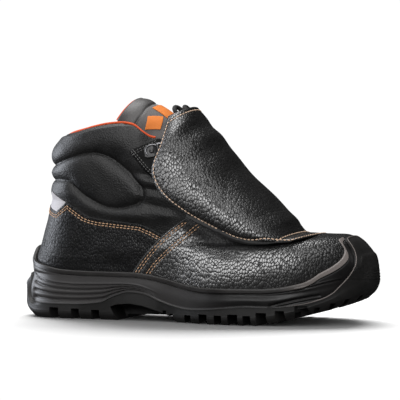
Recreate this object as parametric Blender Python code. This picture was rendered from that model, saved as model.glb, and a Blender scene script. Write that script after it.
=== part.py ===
# Welding boot, right foot, empty, standing on its sole.
# Frame: +X to the toe, -Y the outer (lateral) side, +Z up, floor at z = 0.
# Sizes are written in millimetres and turned into metres when a mesh is made.

import math

import bpy
import bmesh
import numpy as np

for old in list(bpy.data.objects):
    bpy.data.objects.remove(old, do_unlink=True)

MM = 0.001

# ---------------------------------------------------------------- named sizes
HALF_STATIONS = 30          # stations along each side of the last
GAP = 0.35                  # air between neighbouring pieces
TRAY_HEEL = 31.0            # top of the sole under the heel
TRAY_FORE = 20.0            # top of the sole under the ball
TRAY_TOE_RISE = 14.0
HEEL_X, WAIST_X, BALL_X = -105.0, -25.0, 45.0
SPRING_START = 60.0         # toe spring begins here
SPRING_RISE = 12.4          # and has this height 60 mm further on
WALL = 3.0                  # leather and lining of the foot part
INSOLE_THICK = 4.0
TONGUE_THICK = 5.5
LACE_RADIUS = 2.2
GROOVE_DEPTH = 1.1          # collar quilting
GROOVE_HALF = 4.0

# Centre line of the last: it swings out at the waist and in at the toe.
CENTRE_LINE = (  # x, y
    (-153.0, 0.0),
    (-105.0, 0.0),
    (-25.0, -3.0),
    (45.0, -0.5),
    (153.0, 9.0),
)

# One row for each level of the upper, from the tray to the collar rim.
# follow: how far the level keeps the sole's line, rise: its height above it,
# wall: thickness, roll: how far the level drops from its ends to its sides.
UPPER_COLUMNS = ("x_back", "z_back", "x_front", "z_front", "crown", "w_heel",
                 "w_waist", "w_ball", "run_back", "run_front", "sway",
                 "follow", "rise", "wall", "roll")
UPPER_ROWS = (
    # bottom, in the tray
    (-141.0, 31.0, 142.5, 35.0, 0.0, 31.5, 30.0, 46.0, 36, 66, 1.0, 1.0, 0.35, 3.0, 0.0),
    # feather line
    (-144.0, 39.0, 146.0, 43.0, 0.0, 34.5, 33.0, 49.5, 38, 69, 1.0, 1.0, 8.0, 3.0, 0.0),
    # toe wall
    (-144.4, 45.0, 146.8, 48.0, 0.0, 35.5, 34.0, 50.0, 38, 69, 1.0, 0.55, 16.0, 3.0, 0.0),
    # toe shoulder
    (-143.4, 50.0, 144.4, 57.0, 0.0, 36.0, 34.5, 48.8, 38, 68, 1.0, 0.2, 23.0, 3.0, 0.6),
    # toe round
    (-142.0, 55.5, 139.4, 65.0, 0.0, 36.0, 35.0, 46.8, 38, 66, 1.0, 0.0, 30.0, 3.0, 2.4),
    # toe crown
    (-140.2, 61.0, 130.0, 70.8, 0.0, 36.2, 35.2, 44.6, 38, 64, 1.0, 0.0, 37.0, 3.0, 4.6),
    # vamp
    (-138.4, 67.0, 112.0, 71.0, 0.0, 36.3, 35.4, 42.6, 38, 62, 0.9, 0.0, 44.0, 3.0, 5.6),
    # vamp point
    (-136.6, 73.5, 90.0, 72.0, 0.0, 36.3, 35.6, 40.6, 38, 60, 0.8, 0.0, 51.0, 3.0, 5.0),
    # instep, low
    (-134.4, 81.0, 68.0, 81.5, 0.0, 36.3, 35.8, 39.2, 38, 60, 0.6, 0.0, 58.0, 3.0, 2.6),
    # instep
    (-132.2, 91.0, 47.5, 101.0, 0.0, 36.6, 36.2, 38.0, 38, 60, 0.5, 0.0, 65.0, 3.6, 0.8),
    # instep, high
    (-130.3, 102.0, 26.5, 122.5, 0.0, 37.4, 37.0, 37.0, 39, 60, 0.4, 0.0, 72.0, 5.0, 0.0),
    # ankle
    (-129.8, 114.0, 8.5, 142.0, 0.0, 38.4, 38.2, 37.0, 40, 60, 0.3, 0.0, 79.0, 7.5, 0.0),
    # collar, low
    (-129.6, 126.0, -4.0, 151.0, 0.5, 39.2, 39.0, 38.0, 41, 59, 0.2, 0.0, 86.0, 9.5, 0.0),
    # collar pad
    (-128.6, 138.0, -14.0, 155.5, 5.0, 39.0, 39.0, 38.0, 42, 56, 0.1, 0.0, 93.0, 10.0, 0.0),
    # collar rim
    (-119.5, 150.0, -24.0, 157.0, 12.0, 34.6, 34.6, 34.6, 38, 50, 0.0, 0.0, 100.0, 5.0, 0.0),
)
LAST_LEVEL = 14.0           # the collar rim

# Rim of the midsole, as a level of the upper, by angle from the toe and heel.
RIM_AT_TOE = (  # angle, level
    (0.0, 4.9), (0.19, 4.7), (0.235, 4.1), (0.30, 3.35), (0.39, 2.8),
    (0.52, 2.15), (0.64, 1.7), (0.82, 1.28), (1.05, 1.05), (1.57, 1.05),
)
RIM_AT_HEEL = (  # angle, level
    (0.0, 4.2), (0.10, 3.9), (0.18, 2.9), (0.28, 2.1), (0.52, 1.5),
    (0.76, 1.12), (1.0, 1.05), (1.57, 1.05),
)

# Outlines of the sole.
SOLE_COLUMNS = ("x_back", "x_front", "w_heel", "w_waist", "w_ball",
                "run_back", "run_front")
SOLE_ROWS = {
    "tread_edge": (-149.0, 146.3, 36.5, 35.0, 52.5, 40, 78),
    "low_wall": (-153.3, 151.0, 39.0, 37.5, 55.0, 42, 80),
    "widest": (-154.6, 152.3, 39.6, 38.0, 55.6, 43, 80),
    "mid_wall": (-150.8, 149.0, 38.2, 36.6, 54.0, 41, 77),
    "mid_foot": (-149.6, 147.6, 36.6, 35.0, 52.4, 40, 76),
}

# Top of the outsole on the side wall.
PARTING = (  # x, z
    (-153.0, 11.0), (-100.0, 11.0), (-75.0, 13.0), (-61.0, 19.0),
    (-48.0, 22.5), (-36.0, 21.5), (-22.0, 16.0), (-6.0, 11.5), (8.0, 9.8),
    (46.0, 12.6), (60.0, 13.6), (76.0, 13.4), (92.0, 14.8), (108.0, 17.4),
    (122.0, 20.6), (153.0, 30.0),
)
WRAP_TOP_TOE = (  # angle, weight of the toe wrap, its level on the upper
    (0.0, 1.0, 4.45), (0.18, 1.0, 4.2), (0.27, 1.0, 3.2), (0.36, 0.9, 2.5),
    (0.48, 0.6, 1.8), (0.62, 0.22, 1.2), (0.76, 0.0, 1.0), (1.57, 0.0, 1.0),
)
WRAP_TOP_HEEL = (  # angle, height added to the parting line
    (0.0, 25.0), (0.22, 24.0), (0.32, 16.0), (0.42, 4.0), (0.5, 1.2),
    (1.57, 1.2),
)

ARCH_CUT = (  # x, z of the gap under the waist
    (-57.5, -6.0), (-59.0, 0.0), (-65.0, 11.2), (-60.0, 13.0), (-48.0, 14.2),
    (-36.0, 12.6), (-22.0, 8.6), (-10.0, 4.6), (-5.0, 0.0), (-4.0, -6.0),
)
LUG_CUTS = (  # x, width, depth, inner end, slant in degrees
    (-118.5, 8.5, 6.5, 13.0, 12.0),
    (-91.5, 8.5, 6.5, 13.0, 8.0),
    (19.5, 8.0, 6.5, 15.0, -10.0),
    (47.0, 8.0, 6.5, 16.0, -6.0),
    (77.0, 8.5, 7.0, 15.0, 8.0),
    (106.0, 7.5, 6.0, 12.0, 20.0),
)

# Instep flap: each row is one section from its ridge to its lower edge.
FLAP_COLUMNS = ("ridge_x", "ridge_z", "edge_x", "edge_y", "edge_z", "thick")
FLAP_ROWS = (
    (106.5, 73.3, 92.5, 40.0, 69.0, 1.7),   # front edge, sewn to the vamp
    (99.0, 73.5, 88.0, 42.6, 68.7, 1.7),
    (91.8, 74.2, 83.0, 45.4, 68.5, 1.8),    # bend
    (88.2, 76.8, 77.0, 47.8, 68.0, 2.4),
    (85.6, 80.6, 70.0, 50.0, 67.8, 2.8),
    (83.2, 85.0, 63.0, 51.4, 67.8, 3.0),
    (78.0, 89.0, 55.5, 52.4, 68.8, 3.0),
    (71.5, 94.0, 47.0, 53.0, 71.0, 3.0),
    (60.0, 104.8, 34.0, 53.4, 76.2, 3.0),
    (49.5, 114.0, 22.0, 53.6, 81.8, 3.0),
    (38.3, 124.4, 9.0, 53.6, 88.3, 3.0),
    (27.8, 137.6, -6.0, 53.2, 97.8, 3.0),
    (21.0, 146.4, -15.0, 52.4, 105.6, 3.0),
    (14.6, 154.8, -22.0, 51.0, 116.0, 3.0),
    (6.4, 161.4, -24.0, 49.0, 128.5, 3.0),
    (0.8, 169.2, -19.6, 42.5, 146.0, 3.0),
    (-4.6, 176.3, -18.8, 26.0, 169.2, 3.0),  # top edge
)
FLAP_FULL = 2.1             # roundness of the flap's arch

# Quilted grooves of the collar, outer and inner side alike.
GROOVE_COLUMNS = ("x", "z")
GROOVE_HIGH = ((-131.0, 125.0), (-112.0, 131.0), (-91.0, 138.0), (-80.0, 139.2),
               (-65.0, 134.6), (-48.0, 120.7), (-38.0, 106.8), (-37.4, 103.0))
GROOVE_LOW = ((-131.0, 111.5), (-107.0, 112.7), (-93.0, 104.3), (-76.0, 96.0),
              (-60.0, 93.6), (-50.0, 95.6), (-38.0, 102.0))

# Throat: half width of the opening by distance along the ridge.
THROAT = (  # along, half width
    (6.0, 4.0), (7.5, 9.0), (12.0, 14.0), (22.0, 17.0), (50.0, 20.5),
    (90.0, 24.0), (126.0, 27.0), (175.0, 30.0),
)
RIDGE_DIR = np.array([-0.72, 0.0, 0.694])
RIDGE_OUT = np.array([0.694, 0.0, 0.72])

# Front of the collar, where its edge drops to the facing.
COLLAR_DROP = (  # x, z
    (-46.0, 176.0), (-41.5, 165.0), (-38.0, 161.4), (-34.6, 158.0),
    (-31.0, 154.0), (-27.0, 151.5), (20.0, 154.0), (20.0, 186.0),
    (-46.0, 186.0),
)

LACE_RINGS = (  # level on the upper, half width at the plate
    (8.75, 28.0), (9.4, 30.0), (10.07, 31.8), (10.74, 33.4), (11.4, 35.0),
)
PLATE_LONG, PLATE_WIDE, PLATE_THICK = 11.0, 9.0, 1.2
RING_RADIUS, RING_WIRE = 4.6, 1.1

MATERIALS = {
    "outsole": (0.022, 0.022, 0.023, 0.75),
    "midsole": (0.040, 0.038, 0.038, 0.65),
    "insole": (0.05, 0.05, 0.05, 0.9),
    "upper": (0.020, 0.019, 0.019, 0.45),
    "tongue": (0.09, 0.085, 0.083, 0.6),
    "flap": (0.022, 0.021, 0.021, 0.42),
    "lace": (0.02, 0.02, 0.02, 0.85),
    "metal": (0.03, 0.03, 0.032, 0.4),
}


# ---------------------------------------------------------------- small tools
def table(rows, columns):
    data = np.array(rows, float)
    return {name: data[:, i] for i, name in enumerate(columns)}


def smooth_rows(values, v):
    """Catmull-Rom through evenly spaced row values."""
    values = np.asarray(values, float)
    v = np.clip(np.asarray(v, float), 0.0, len(values) - 1.0)
    i = np.clip(np.floor(v).astype(int), 0, len(values) - 2)
    f = v - i
    last = len(values) - 1
    p0, p1 = values[np.clip(i - 1, 0, last)], values[i]
    p2, p3 = values[i + 1], values[np.clip(i + 2, 0, last)]
    return p1 + 0.5 * f * (p2 - p0 + f * (2 * p0 - 5 * p1 + 4 * p2 - p3
                                          + f * (3 * (p1 - p2) + p3 - p0)))


def ease(pairs, x, col=1):
    """Smooth curve without overshoot through (x, value) pairs."""
    data = np.array(pairs, float)
    xs, ys = data[:, 0], data[:, col]
    h = np.diff(xs)
    d = np.diff(ys) / h
    m = np.zeros(len(xs))
    for k in range(1, len(xs) - 1):
        if d[k - 1] * d[k] > 0:
            a, b = 2 * h[k] + h[k - 1], h[k] + 2 * h[k - 1]
            m[k] = (a + b) / (a / d[k - 1] + b / d[k])
    x = np.clip(np.asarray(x, float), xs[0], xs[-1])
    k = np.clip(np.searchsorted(xs, x) - 1, 0, len(xs) - 2)
    s = (x - xs[k]) / h[k]
    return ((1 + 2 * s) * (1 - s) ** 2 * ys[k] + s * (1 - s) ** 2 * h[k] * m[k]
            + s * s * (3 - 2 * s) * ys[k + 1] + s * s * (s - 1) * h[k] * m[k + 1])


def tray(x):
    x = np.asarray(x, float)
    fall = np.clip((x + 48.0) / 74.0, 0, 1)
    fall = fall * fall * (3 - 2 * fall)
    toe = np.clip((x - 70.0) / 72.0, 0, 2)
    return TRAY_HEEL + (TRAY_FORE - TRAY_HEEL) * fall + TRAY_TOE_RISE * toe ** 1.7


def tread(x):
    """Lower face of the outsole: flat heel and ball, toe spring, heel bevel."""
    x = np.asarray(x, float)
    toe = np.clip((x - SPRING_START) / 60.0, 0, 2)
    back = np.clip((-134.0 - x) / 20.0, 0, 2)
    return SPRING_RISE * toe ** 1.6 + 7.0 * back ** 2


def half_width(x, x_back, x_front, w_heel, w_waist, w_ball, run_back, run_front):
    s1 = np.clip((x - HEEL_X) / (WAIST_X - HEEL_X), 0, 1)
    s2 = np.clip((x - WAIST_X) / (BALL_X - WAIST_X), 0, 1)
    s1, s2 = s1 * s1 * (3 - 2 * s1), s2 * s2 * (3 - 2 * s2)
    body = w_heel + (w_waist - w_heel) * s1 + (w_ball - w_waist) * s2
    qb = np.clip(1 - (x - x_back) / run_back, 0, 1)
    qf = np.clip(1 - (x_front - x) / run_front, 0, 1)
    ends = np.sqrt(1 - qb ** 2) * (1 - qf ** 2.15) ** (1 / 2.15)
    return body * ends, ends


UPPER = table(UPPER_ROWS, UPPER_COLUMNS)


def upper_plain(theta, v):
    """Outer face of the upper, before the collar is quilted.
    theta runs from the heel along the outer side, the toe and the inner side."""
    theta, v = np.broadcast_arrays(np.asarray(theta, float), np.asarray(v, float))
    c = {name: smooth_rows(UPPER[name], v) for name in UPPER_COLUMNS}
    t = (1 - np.cos(theta)) / 2
    x = c["x_back"] + t * (c["x_front"] - c["x_back"])
    w, ends = half_width(x, c["x_back"], c["x_front"], c["w_heel"], c["w_waist"],
                         c["w_ball"], c["run_back"], c["run_front"])
    side = np.where(np.sin(theta) >= 0, -1.0, 1.0)
    y = ease(CENTRE_LINE, x) * c["sway"] + side * w
    s = t ** 1.25                               # the collar is highest towards the front
    z = (c["z_back"] + t * (c["z_front"] - c["z_back"]) + c["crown"] * 4 * s * (1 - s)
         - c["roll"] * ends ** 2)
    follow = np.clip(c["follow"], 0, 1)
    z = (1 - follow) * z + follow * (tray(x) + c["rise"])
    return np.stack([x, y, z], -1)


def upper_normal(theta, v, step=0.02):
    a = upper_plain(theta + step, v) - upper_plain(theta - step, v)
    b = upper_plain(theta, np.clip(v + step, 0, LAST_LEVEL)) - upper_plain(theta, np.clip(v - step, 0, LAST_LEVEL))
    n = np.cross(a, b)
    return n / np.linalg.norm(n, axis=-1, keepdims=True)


def groove_line(rows, steps=60):
    data = np.array(rows, float)
    u = np.linspace(0, len(data) - 1, steps)
    return np.stack([smooth_rows(data[:, 0], u), smooth_rows(data[:, 1], u)], -1)


GROOVES = np.concatenate([groove_line(GROOVE_HIGH), groove_line(GROOVE_LOW)])


def groove_depth(points):
    d = np.sqrt(((points[..., None, [0, 2]] - GROOVES) ** 2).sum(-1)).min(-1)
    return GROOVE_DEPTH * np.exp(-(d / GROOVE_HALF) ** 2)


def upper_outer(theta, v, lift=0.0):
    p = upper_plain(theta, v)
    return p + upper_normal(theta, v) * (lift - groove_depth(p))[..., None]


def upper_inner(theta, v, more=0.0):
    """Lining side: thin at the throat, thick at the padded collar."""
    pad = smooth_rows(UPPER["wall"], v)
    front = np.clip((np.abs(theta - math.pi) - 0.55) / 0.5, 0, 1)
    thick = WALL + (pad - WALL) * front * front * (3 - 2 * front)
    return upper_plain(theta, v) - upper_normal(theta, v) * (thick + more)[..., None]


def sole_ring(name, theta, z):
    c = dict(zip(SOLE_COLUMNS, SOLE_ROWS[name]))
    t = (1 - np.cos(theta)) / 2
    x = c["x_back"] + t * (c["x_front"] - c["x_back"])
    w, _ = half_width(x, **c)
    side = np.where(np.sin(theta) >= 0, -1.0, 1.0)
    y = ease(CENTRE_LINE, x) + side * w
    return np.stack([x, y, np.broadcast_to(z(x) if callable(z) else z, x.shape)], -1)


THETA = np.arange(2 * HALF_STATIONS) * math.pi / HALF_STATIONS
FROM_TOE = np.abs(THETA - math.pi)
FROM_HEEL = np.minimum(THETA, 2 * math.pi - THETA)

# The box of the whole boot is centred on the widest outline of the sole.
_wide = sole_ring("widest", np.linspace(0, 2 * math.pi, 721), 0.0)
SHIFT_X = -(_wide[:, 0].min() + _wide[:, 0].max()) / 2
SHIFT_Y = -(_wide[:, 1].min() + _wide[:, 1].max()) / 2

collection = bpy.data.collections.new("welding_boot")
bpy.context.scene.collection.children.link(collection)
cutters = bpy.data.collections.new("cutters")
bpy.context.scene.collection.children.link(cutters)


def material(name):
    if name in bpy.data.materials:
        return bpy.data.materials[name]
    m = bpy.data.materials.new(name)
    m.use_nodes = True
    b = m.node_tree.nodes["Principled BSDF"]
    r, g, bl, rough = MATERIALS[name]
    b.inputs["Base Color"].default_value = (r, g, bl, 1)
    b.inputs["Roughness"].default_value = rough
    return m


def make(name, verts, faces, mat, cutter=False):
    verts = np.asarray(verts, float).copy()
    verts[:, 0] += SHIFT_X
    verts[:, 1] += SHIFT_Y
    mesh = bpy.data.meshes.new(name)
    mesh.from_pydata([tuple(p) for p in verts * MM], [], faces)
    bm = bmesh.new()
    bm.from_mesh(mesh)
    bmesh.ops.recalc_face_normals(bm, faces=bm.faces)
    bm.to_mesh(mesh)
    bm.free()
    mesh.materials.append(material(mat))
    ob = bpy.data.objects.new(name, mesh)
    (cutters if cutter else collection).objects.link(ob)
    if cutter:
        ob.hide_render = True
        ob.display_type = "WIRE"
    return ob


def ring_faces(rings, count, closed=False):
    faces = []
    pairs = [(k, k + 1) for k in range(rings - 1)]
    if closed:
        pairs.append((rings - 1, 0))
    for a, b in pairs:
        for j in range(count):
            n = (j + 1) % count
            faces.append((a * count + j, a * count + n, b * count + n, b * count + j))
    return faces


def ladder(start, count):
    """Cap of rungs between the outer and inner sides of one ring."""
    half = count // 2
    faces = [(start, start + 1, start + count - 1)]
    for j in range(1, half - 1):
        faces.append((start + j, start + j + 1, start + count - j - 1, start + count - j))
    faces.append((start + half - 1, start + half, start + half + 1))
    return faces


def ring_solid(name, rings, mat, closed=False, cutter=False):
    count = len(rings[0])
    faces = ring_faces(len(rings), count, closed)
    if not closed:
        faces += ladder(0, count) + ladder((len(rings) - 1) * count, count)
    return make(name, np.concatenate(rings), faces, mat, cutter)


def sheet_solid(name, top, bottom, mat):
    """Closed plate between two grids of the same size."""
    rows, cols = top.shape[:2]
    verts = np.concatenate([top.reshape(-1, 3), bottom.reshape(-1, 3)])
    at = lambda r, c, s: s * rows * cols + r * cols + c
    faces = []
    for r in range(rows - 1):
        for c in range(cols - 1):
            faces.append((at(r, c, 0), at(r, c + 1, 0), at(r + 1, c + 1, 0), at(r + 1, c, 0)))
            faces.append((at(r, c, 1), at(r + 1, c, 1), at(r + 1, c + 1, 1), at(r, c + 1, 1)))
    for c in range(cols - 1):
        for r in (0, rows - 1):
            faces.append((at(r, c, 0), at(r, c + 1, 0), at(r, c + 1, 1), at(r, c, 1)))
    for r in range(rows - 1):
        for c in (0, cols - 1):
            faces.append((at(r, c, 0), at(r + 1, c, 0), at(r + 1, c, 1), at(r, c, 1)))
    return make(name, verts, faces, mat)


def prism(name, outline, low, high, mat="upper"):
    """Cutter: an (x, z) outline drawn out along Y."""
    pts = np.array(outline, float)
    n = len(pts)
    verts = [(x, low, z) for x, z in pts] + [(x, high, z) for x, z in pts]
    faces = [tuple(range(n)), tuple(range(2 * n - 1, n - 1, -1))]
    faces += [(i, (i + 1) % n, n + (i + 1) % n, n + i) for i in range(n)]
    return make(name, verts, faces, mat, cutter=True)


def cut(ob, cutter):
    m = ob.modifiers.new("cut_" + cutter.name, "BOOLEAN")
    m.operation = "DIFFERENCE"
    m.solver = "EXACT"
    m.object = cutter


# ---------------------------------------------------------------- upper
outer_levels = np.concatenate([np.arange(0, 9), np.arange(9, LAST_LEVEL - 0.6, 0.5),
                               [13.6, LAST_LEVEL]])
inner_levels = np.array([13.9, 13.2, 12, 11, 10, 9, 8, 7, 6, 5, 4, 3, 2, 1, 0])
rings = [upper_outer(THETA, np.full_like(THETA, v)) for v in outer_levels]
for v in inner_levels:
    ring = upper_inner(THETA, np.full_like(THETA, v))
    if v == 0:
        ring[:, 2] = rings[0][:, 2]
    rings.append(ring)
upper = ring_solid("upper", rings, "upper", closed=True)

throat = np.array(THROAT)
left = [(s, w) for s, w in throat]
right = [(s, -w) for s, w in throat[::-1]]
flat = left + right
verts, n = [], len(flat)
ridge_fit = lambda s: np.array([73.0, 0.0, 83.0]) + RIDGE_DIR * (s - 4.1)
for depth in (-26.0, 30.0):
    verts += [ridge_fit(s) + RIDGE_OUT * depth + np.array([0, w, 0]) for s, w in flat]
faces = [tuple(range(n)), tuple(range(2 * n - 1, n - 1, -1))]
faces += [(i, (i + 1) % n, n + (i + 1) % n, n + i) for i in range(n)]
throat_cut = make("throat_cut", verts, faces, "upper", cutter=True)
collar_cut = prism("collar_cut", COLLAR_DROP, -60.0, 60.0)
cut(upper, throat_cut)
cut(upper, collar_cut)

# ---------------------------------------------------------------- midsole
rim = np.minimum(ease(RIM_AT_TOE, FROM_TOE), 99)
rim = np.where(FROM_HEEL < math.pi / 2, ease(RIM_AT_HEEL, FROM_HEEL), rim)
LOW = 0.72                                  # level where the rim grows from the wall


def on_upper(theta, v, lift):
    p = upper_plain(theta, v)
    return p + upper_normal(theta, v) * np.asarray(lift)[..., None]


lip = np.where(FROM_TOE < 0.5, 1.8 + 1.6 * np.clip((FROM_TOE - 0.15) / 0.35, 0, 1), 3.4)
lip = np.where(FROM_HEEL < 0.5, 4.0 - 0.6 * FROM_HEEL / 0.5, lip)
flat_tray = upper_plain(THETA, 0 * THETA)
flat_tray[:, 2] -= GAP
side_n = upper_normal(THETA, 0 * THETA + 0.3)
flat_tray += side_n * np.array([1, 1, 0]) * GAP


def midsole_wall(extra):
    rings = []
    for f in (0.0, 0.3, 0.62, 1.0):
        v = rim + (LOW - rim) * f
        rings.append(on_upper(THETA, v, lip + (4.3 - lip) * f + extra))
    return rings


def parting(x):
    return ease(PARTING, x)


def mid_height(x):
    return parting(x) + 0.45 * (tray(x) + 8.0 - parting(x))


room = GAP + 0.2 + 0.75 * np.clip((0.55 - FROM_TOE) / 0.15, 0, 1)
inner_wall = [on_upper(THETA, rim * f, room) for f in (0.13, 0.27, 0.42, 0.57, 0.71, 0.86, 1.0)]
midsole_rings = ([flat_tray] + inner_wall + midsole_wall(0.0)
                 + [sole_ring("mid_wall", THETA, mid_height),
                    sole_ring("mid_foot", THETA, parting)])
midsole = ring_solid("midsole", midsole_rings, "midsole")

# ---------------------------------------------------------------- outsole
toe_weight = ease(WRAP_TOP_TOE, FROM_TOE, 1)
toe_level = ease(WRAP_TOP_TOE, FROM_TOE, 2)
heel_rise = np.where(FROM_HEEL < math.pi / 2, ease(WRAP_TOP_HEEL, FROM_HEEL), 1.2)


def wrap_ring(share):
    """Share 0 is the widest line, 1 the top of the wrap."""
    low_z = lambda x: tread(x) + 6.0
    plain = sole_ring("widest", THETA, 0.0)
    top = parting(plain[:, 0]) + heel_rise
    plain[:, 2] = low_z(plain[:, 0]) + (top - low_z(plain[:, 0])) * share
    level = 0.9 + (toe_level - 0.9) * share
    onto = on_upper(THETA, level, np.full_like(THETA, 6.2) - 1.6 * share)
    return plain + (onto - plain) * (toe_weight * (1.0 if share > 0 else 0.3))[:, None]


outsole_rings = [sole_ring("tread_edge", THETA, tread),
                 sole_ring("low_wall", THETA, lambda x: tread(x) + 3.5),
                 wrap_ring(0.0), wrap_ring(0.4), wrap_ring(0.7), wrap_ring(1.0)]
outsole = ring_solid("outsole", outsole_rings, "outsole")

def outward(ring):
    """Plan direction square to a ring's outline."""
    along = np.roll(ring, -1, 0) - np.roll(ring, 1, 0)
    n = np.stack([along[:, 1], -along[:, 0], 0 * along[:, 0]], -1)
    return n / np.linalg.norm(n, axis=1)[:, None]


bed = sole_ring("mid_foot", THETA, parting)
bed = bed + outward(bed) * GAP * 1.3
bed[:, 2] -= GAP * 1.1
wall = sole_ring("mid_wall", THETA, mid_height)
wall = wall + outward(wall) * GAP * 1.5
shell = midsole_wall(GAP * 1.5)
roof = shell[0] * np.array([0.8, 0.7, 1.0]) + np.array([0.0, 0.0, 25.0])
bed_cut = ring_solid("bed_cut", [roof] + shell + [wall, bed], "midsole", cutter=True)
arch_cut = prism("arch_cut", ARCH_CUT, -70.0, 70.0)

lug_verts, lug_faces = [], []
for x, width, depth, inner, slant in LUG_CUTS:
    for side in (-1, 1):
        a = math.radians(slant) * side
        base = len(lug_verts)
        z0 = float(tread(x)) - 4.0
        for z in (z0, z0 + 4.0 + depth):
            for dx, dy in ((-width / 2, inner), (width / 2, inner), (width / 2, 75.0), (-width / 2, 75.0)):
                px, py = dx, side * dy
                lug_verts.append((x + px - math.tan(a) * side * (abs(py) - 40.0), py, z))
        b = base
        lug_faces += [(b, b + 1, b + 2, b + 3), (b + 7, b + 6, b + 5, b + 4)]
        lug_faces += [(b + i, b + (i + 1) % 4, b + 4 + (i + 1) % 4, b + 4 + i) for i in range(4)]
lug_cut = make("lug_cut", lug_verts, lug_faces, "outsole", cutter=True)
cut(outsole, bed_cut)
cut(outsole, arch_cut)
cut(outsole, lug_cut)

# ---------------------------------------------------------------- insole
sock = upper_inner(THETA, 0 * THETA + 0.35, 0 * THETA + 0.9)
low, high = sock.copy(), sock.copy()
low[:, 2] = tray(sock[:, 0]) + GAP
high[:, 2] = low[:, 2] + INSOLE_THICK
inset = upper_inner(THETA, 0 * THETA, 0 * THETA + 0.9)
low[:, :2] = inset[:, :2]
ring_solid("insole", [low, high], "insole")


# ---------------------------------------------------------------- flap
FLAP = table(FLAP_ROWS, FLAP_COLUMNS)


def flap_sheet(across, along, depth):
    """Arched sheet through ridge and edge rows; depth 0 is its outer face and
    1 its inner face, which lies inside the same arch."""
    v = np.linspace(0, len(FLAP_ROWS) - 1, along)[:, None]
    a = np.linspace(-1, 1, across)[None, :] * math.pi / 2
    c = {k: smooth_rows(FLAP[k], v) for k in FLAP_COLUMNS}
    e = 0.05
    tx = smooth_rows(FLAP["ridge_x"], v + e) - smooth_rows(FLAP["ridge_x"], v - e)
    tz = smooth_rows(FLAP["ridge_z"], v + e) - smooth_rows(FLAP["ridge_z"], v - e)
    size = np.hypot(tx, tz)
    out_x, out_z = tz / size, -tx / size
    inner = c["thick"] * depth
    rx, rz = c["ridge_x"] - out_x * inner, c["ridge_z"] - out_z * inner
    flat = np.clip((v - 2.0) / 3.0, 0, 1)       # the sewn end lies flat
    ex = c["edge_x"] - 0.0 * inner
    ey = c["edge_y"] - inner * (0.15 + 0.85 * flat)
    ez = c["edge_z"] - inner * (1 - flat) * 0.95
    p = 2 / FLAP_FULL
    out, drop = np.abs(np.sin(a)) ** p, 1 - np.abs(np.cos(a)) ** p
    x = rx + (ex - rx) * drop
    z = rz + (ez - rz) * drop
    y = np.sign(a) * ey * out
    return np.stack(np.broadcast_arrays(x, y, z), -1)


sheet_solid("instep_flap", flap_sheet(15, 17, 0.0), flap_sheet(15, 17, 1.0), "flap")


# ---------------------------------------------------------------- tongue
def front_angle(level, half):
    """Angle from the toe at which the upper has this half width."""
    a = np.linspace(0.0, 1.3, 400)
    y = -upper_plain(math.pi - a, np.full_like(a, level))[:, 1]
    return float(a[np.argmax(y >= half)]) if (y >= half).any() else 1.3


TONGUE_DEPTH = 4.2          # under the outer face of the upper
TONGUE_LOW = (  # level, half width, thickness
    (7.0, 20.0, 3.0), (8.0, 23.0, 3.6), (9.0, 25.0, 4.4), (10.0, 26.0, 5.0),
    (10.8, 26.5, 5.5),
)
TONGUE_COLUMNS = ("ridge_x", "ridge_z", "edge_x", "edge_y", "edge_z", "thick")
TONGUE_HIGH = (
    (-9.0, 154.0, -28.5, 24.5, 146.5, 5.5),
    (-17.5, 163.0, -39.0, 24.0, 152.5, 6.0),
    (-27.0, 171.0, -47.5, 23.8, 157.5, 6.5),
    (-38.0, 178.2, -55.5, 23.8, 161.5, 6.5),
    (-46.5, 182.8, -61.0, 23.8, 164.0, 6.0),
    (-53.5, 184.2, -65.5, 23.6, 165.0, 4.5),
)
cols = np.linspace(-1, 1, 13)
outer_rows, inner_rows = [], []
for level, half, thick in TONGUE_LOW:
    a = front_angle(level, half)
    th = math.pi + cols * a
    vv = np.full_like(th, level)
    p, nrm = upper_plain(th, vv), upper_normal(th, vv)
    outer_rows.append(p - nrm * TONGUE_DEPTH)
    inner_rows.append(p - nrm * (TONGUE_DEPTH + thick * (1 - 0.35 * np.abs(cols) ** 3))[:, None])
for rx, rz, ex, ey, ez, thick in TONGUE_HIGH:
    a = cols * math.pi / 2 * 0.98
    down = np.array([ex - rx, 0.0, ez - rz])
    size = np.linalg.norm(down)
    for rows, inner in ((outer_rows, 0.0), (inner_rows, thick)):
        drop = (1 - np.cos(a)) * (size - inner * 0.0)
        start = np.array([rx, 0.0, rz]) + down / size * inner
        rows.append(start + drop[:, None] * (down / size) * (1 - inner / size)
                    + ((ey - inner * 0.8) * np.sin(a))[:, None] * np.array([0, 1.0, 0]))


def along_rows(rows, count):
    data = np.array(rows)
    u = np.linspace(0, len(rows) - 1, count)
    return np.stack([np.stack([smooth_rows(data[:, j, k], u) for k in range(3)], -1)
                     for j in range(data.shape[1])], 1)


sheet_solid("tongue", along_rows(outer_rows, 15), along_rows(inner_rows, 15), "tongue")


# ---------------------------------------------------------------- lace rings
def surface_spot(level, half, side):
    """Point, outward, towards the throat and upward, on the facing."""
    a = front_angle(level, half)
    th = np.array([math.pi + (a if side > 0 else -a)])
    v = np.array([level])
    p, n = upper_plain(th, v)[0], upper_normal(th, v)[0]
    ahead = upper_plain(th - 0.03 * side, v)[0] - p
    ahead /= np.linalg.norm(ahead)
    return p, n, ahead, np.cross(n, ahead)


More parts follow.
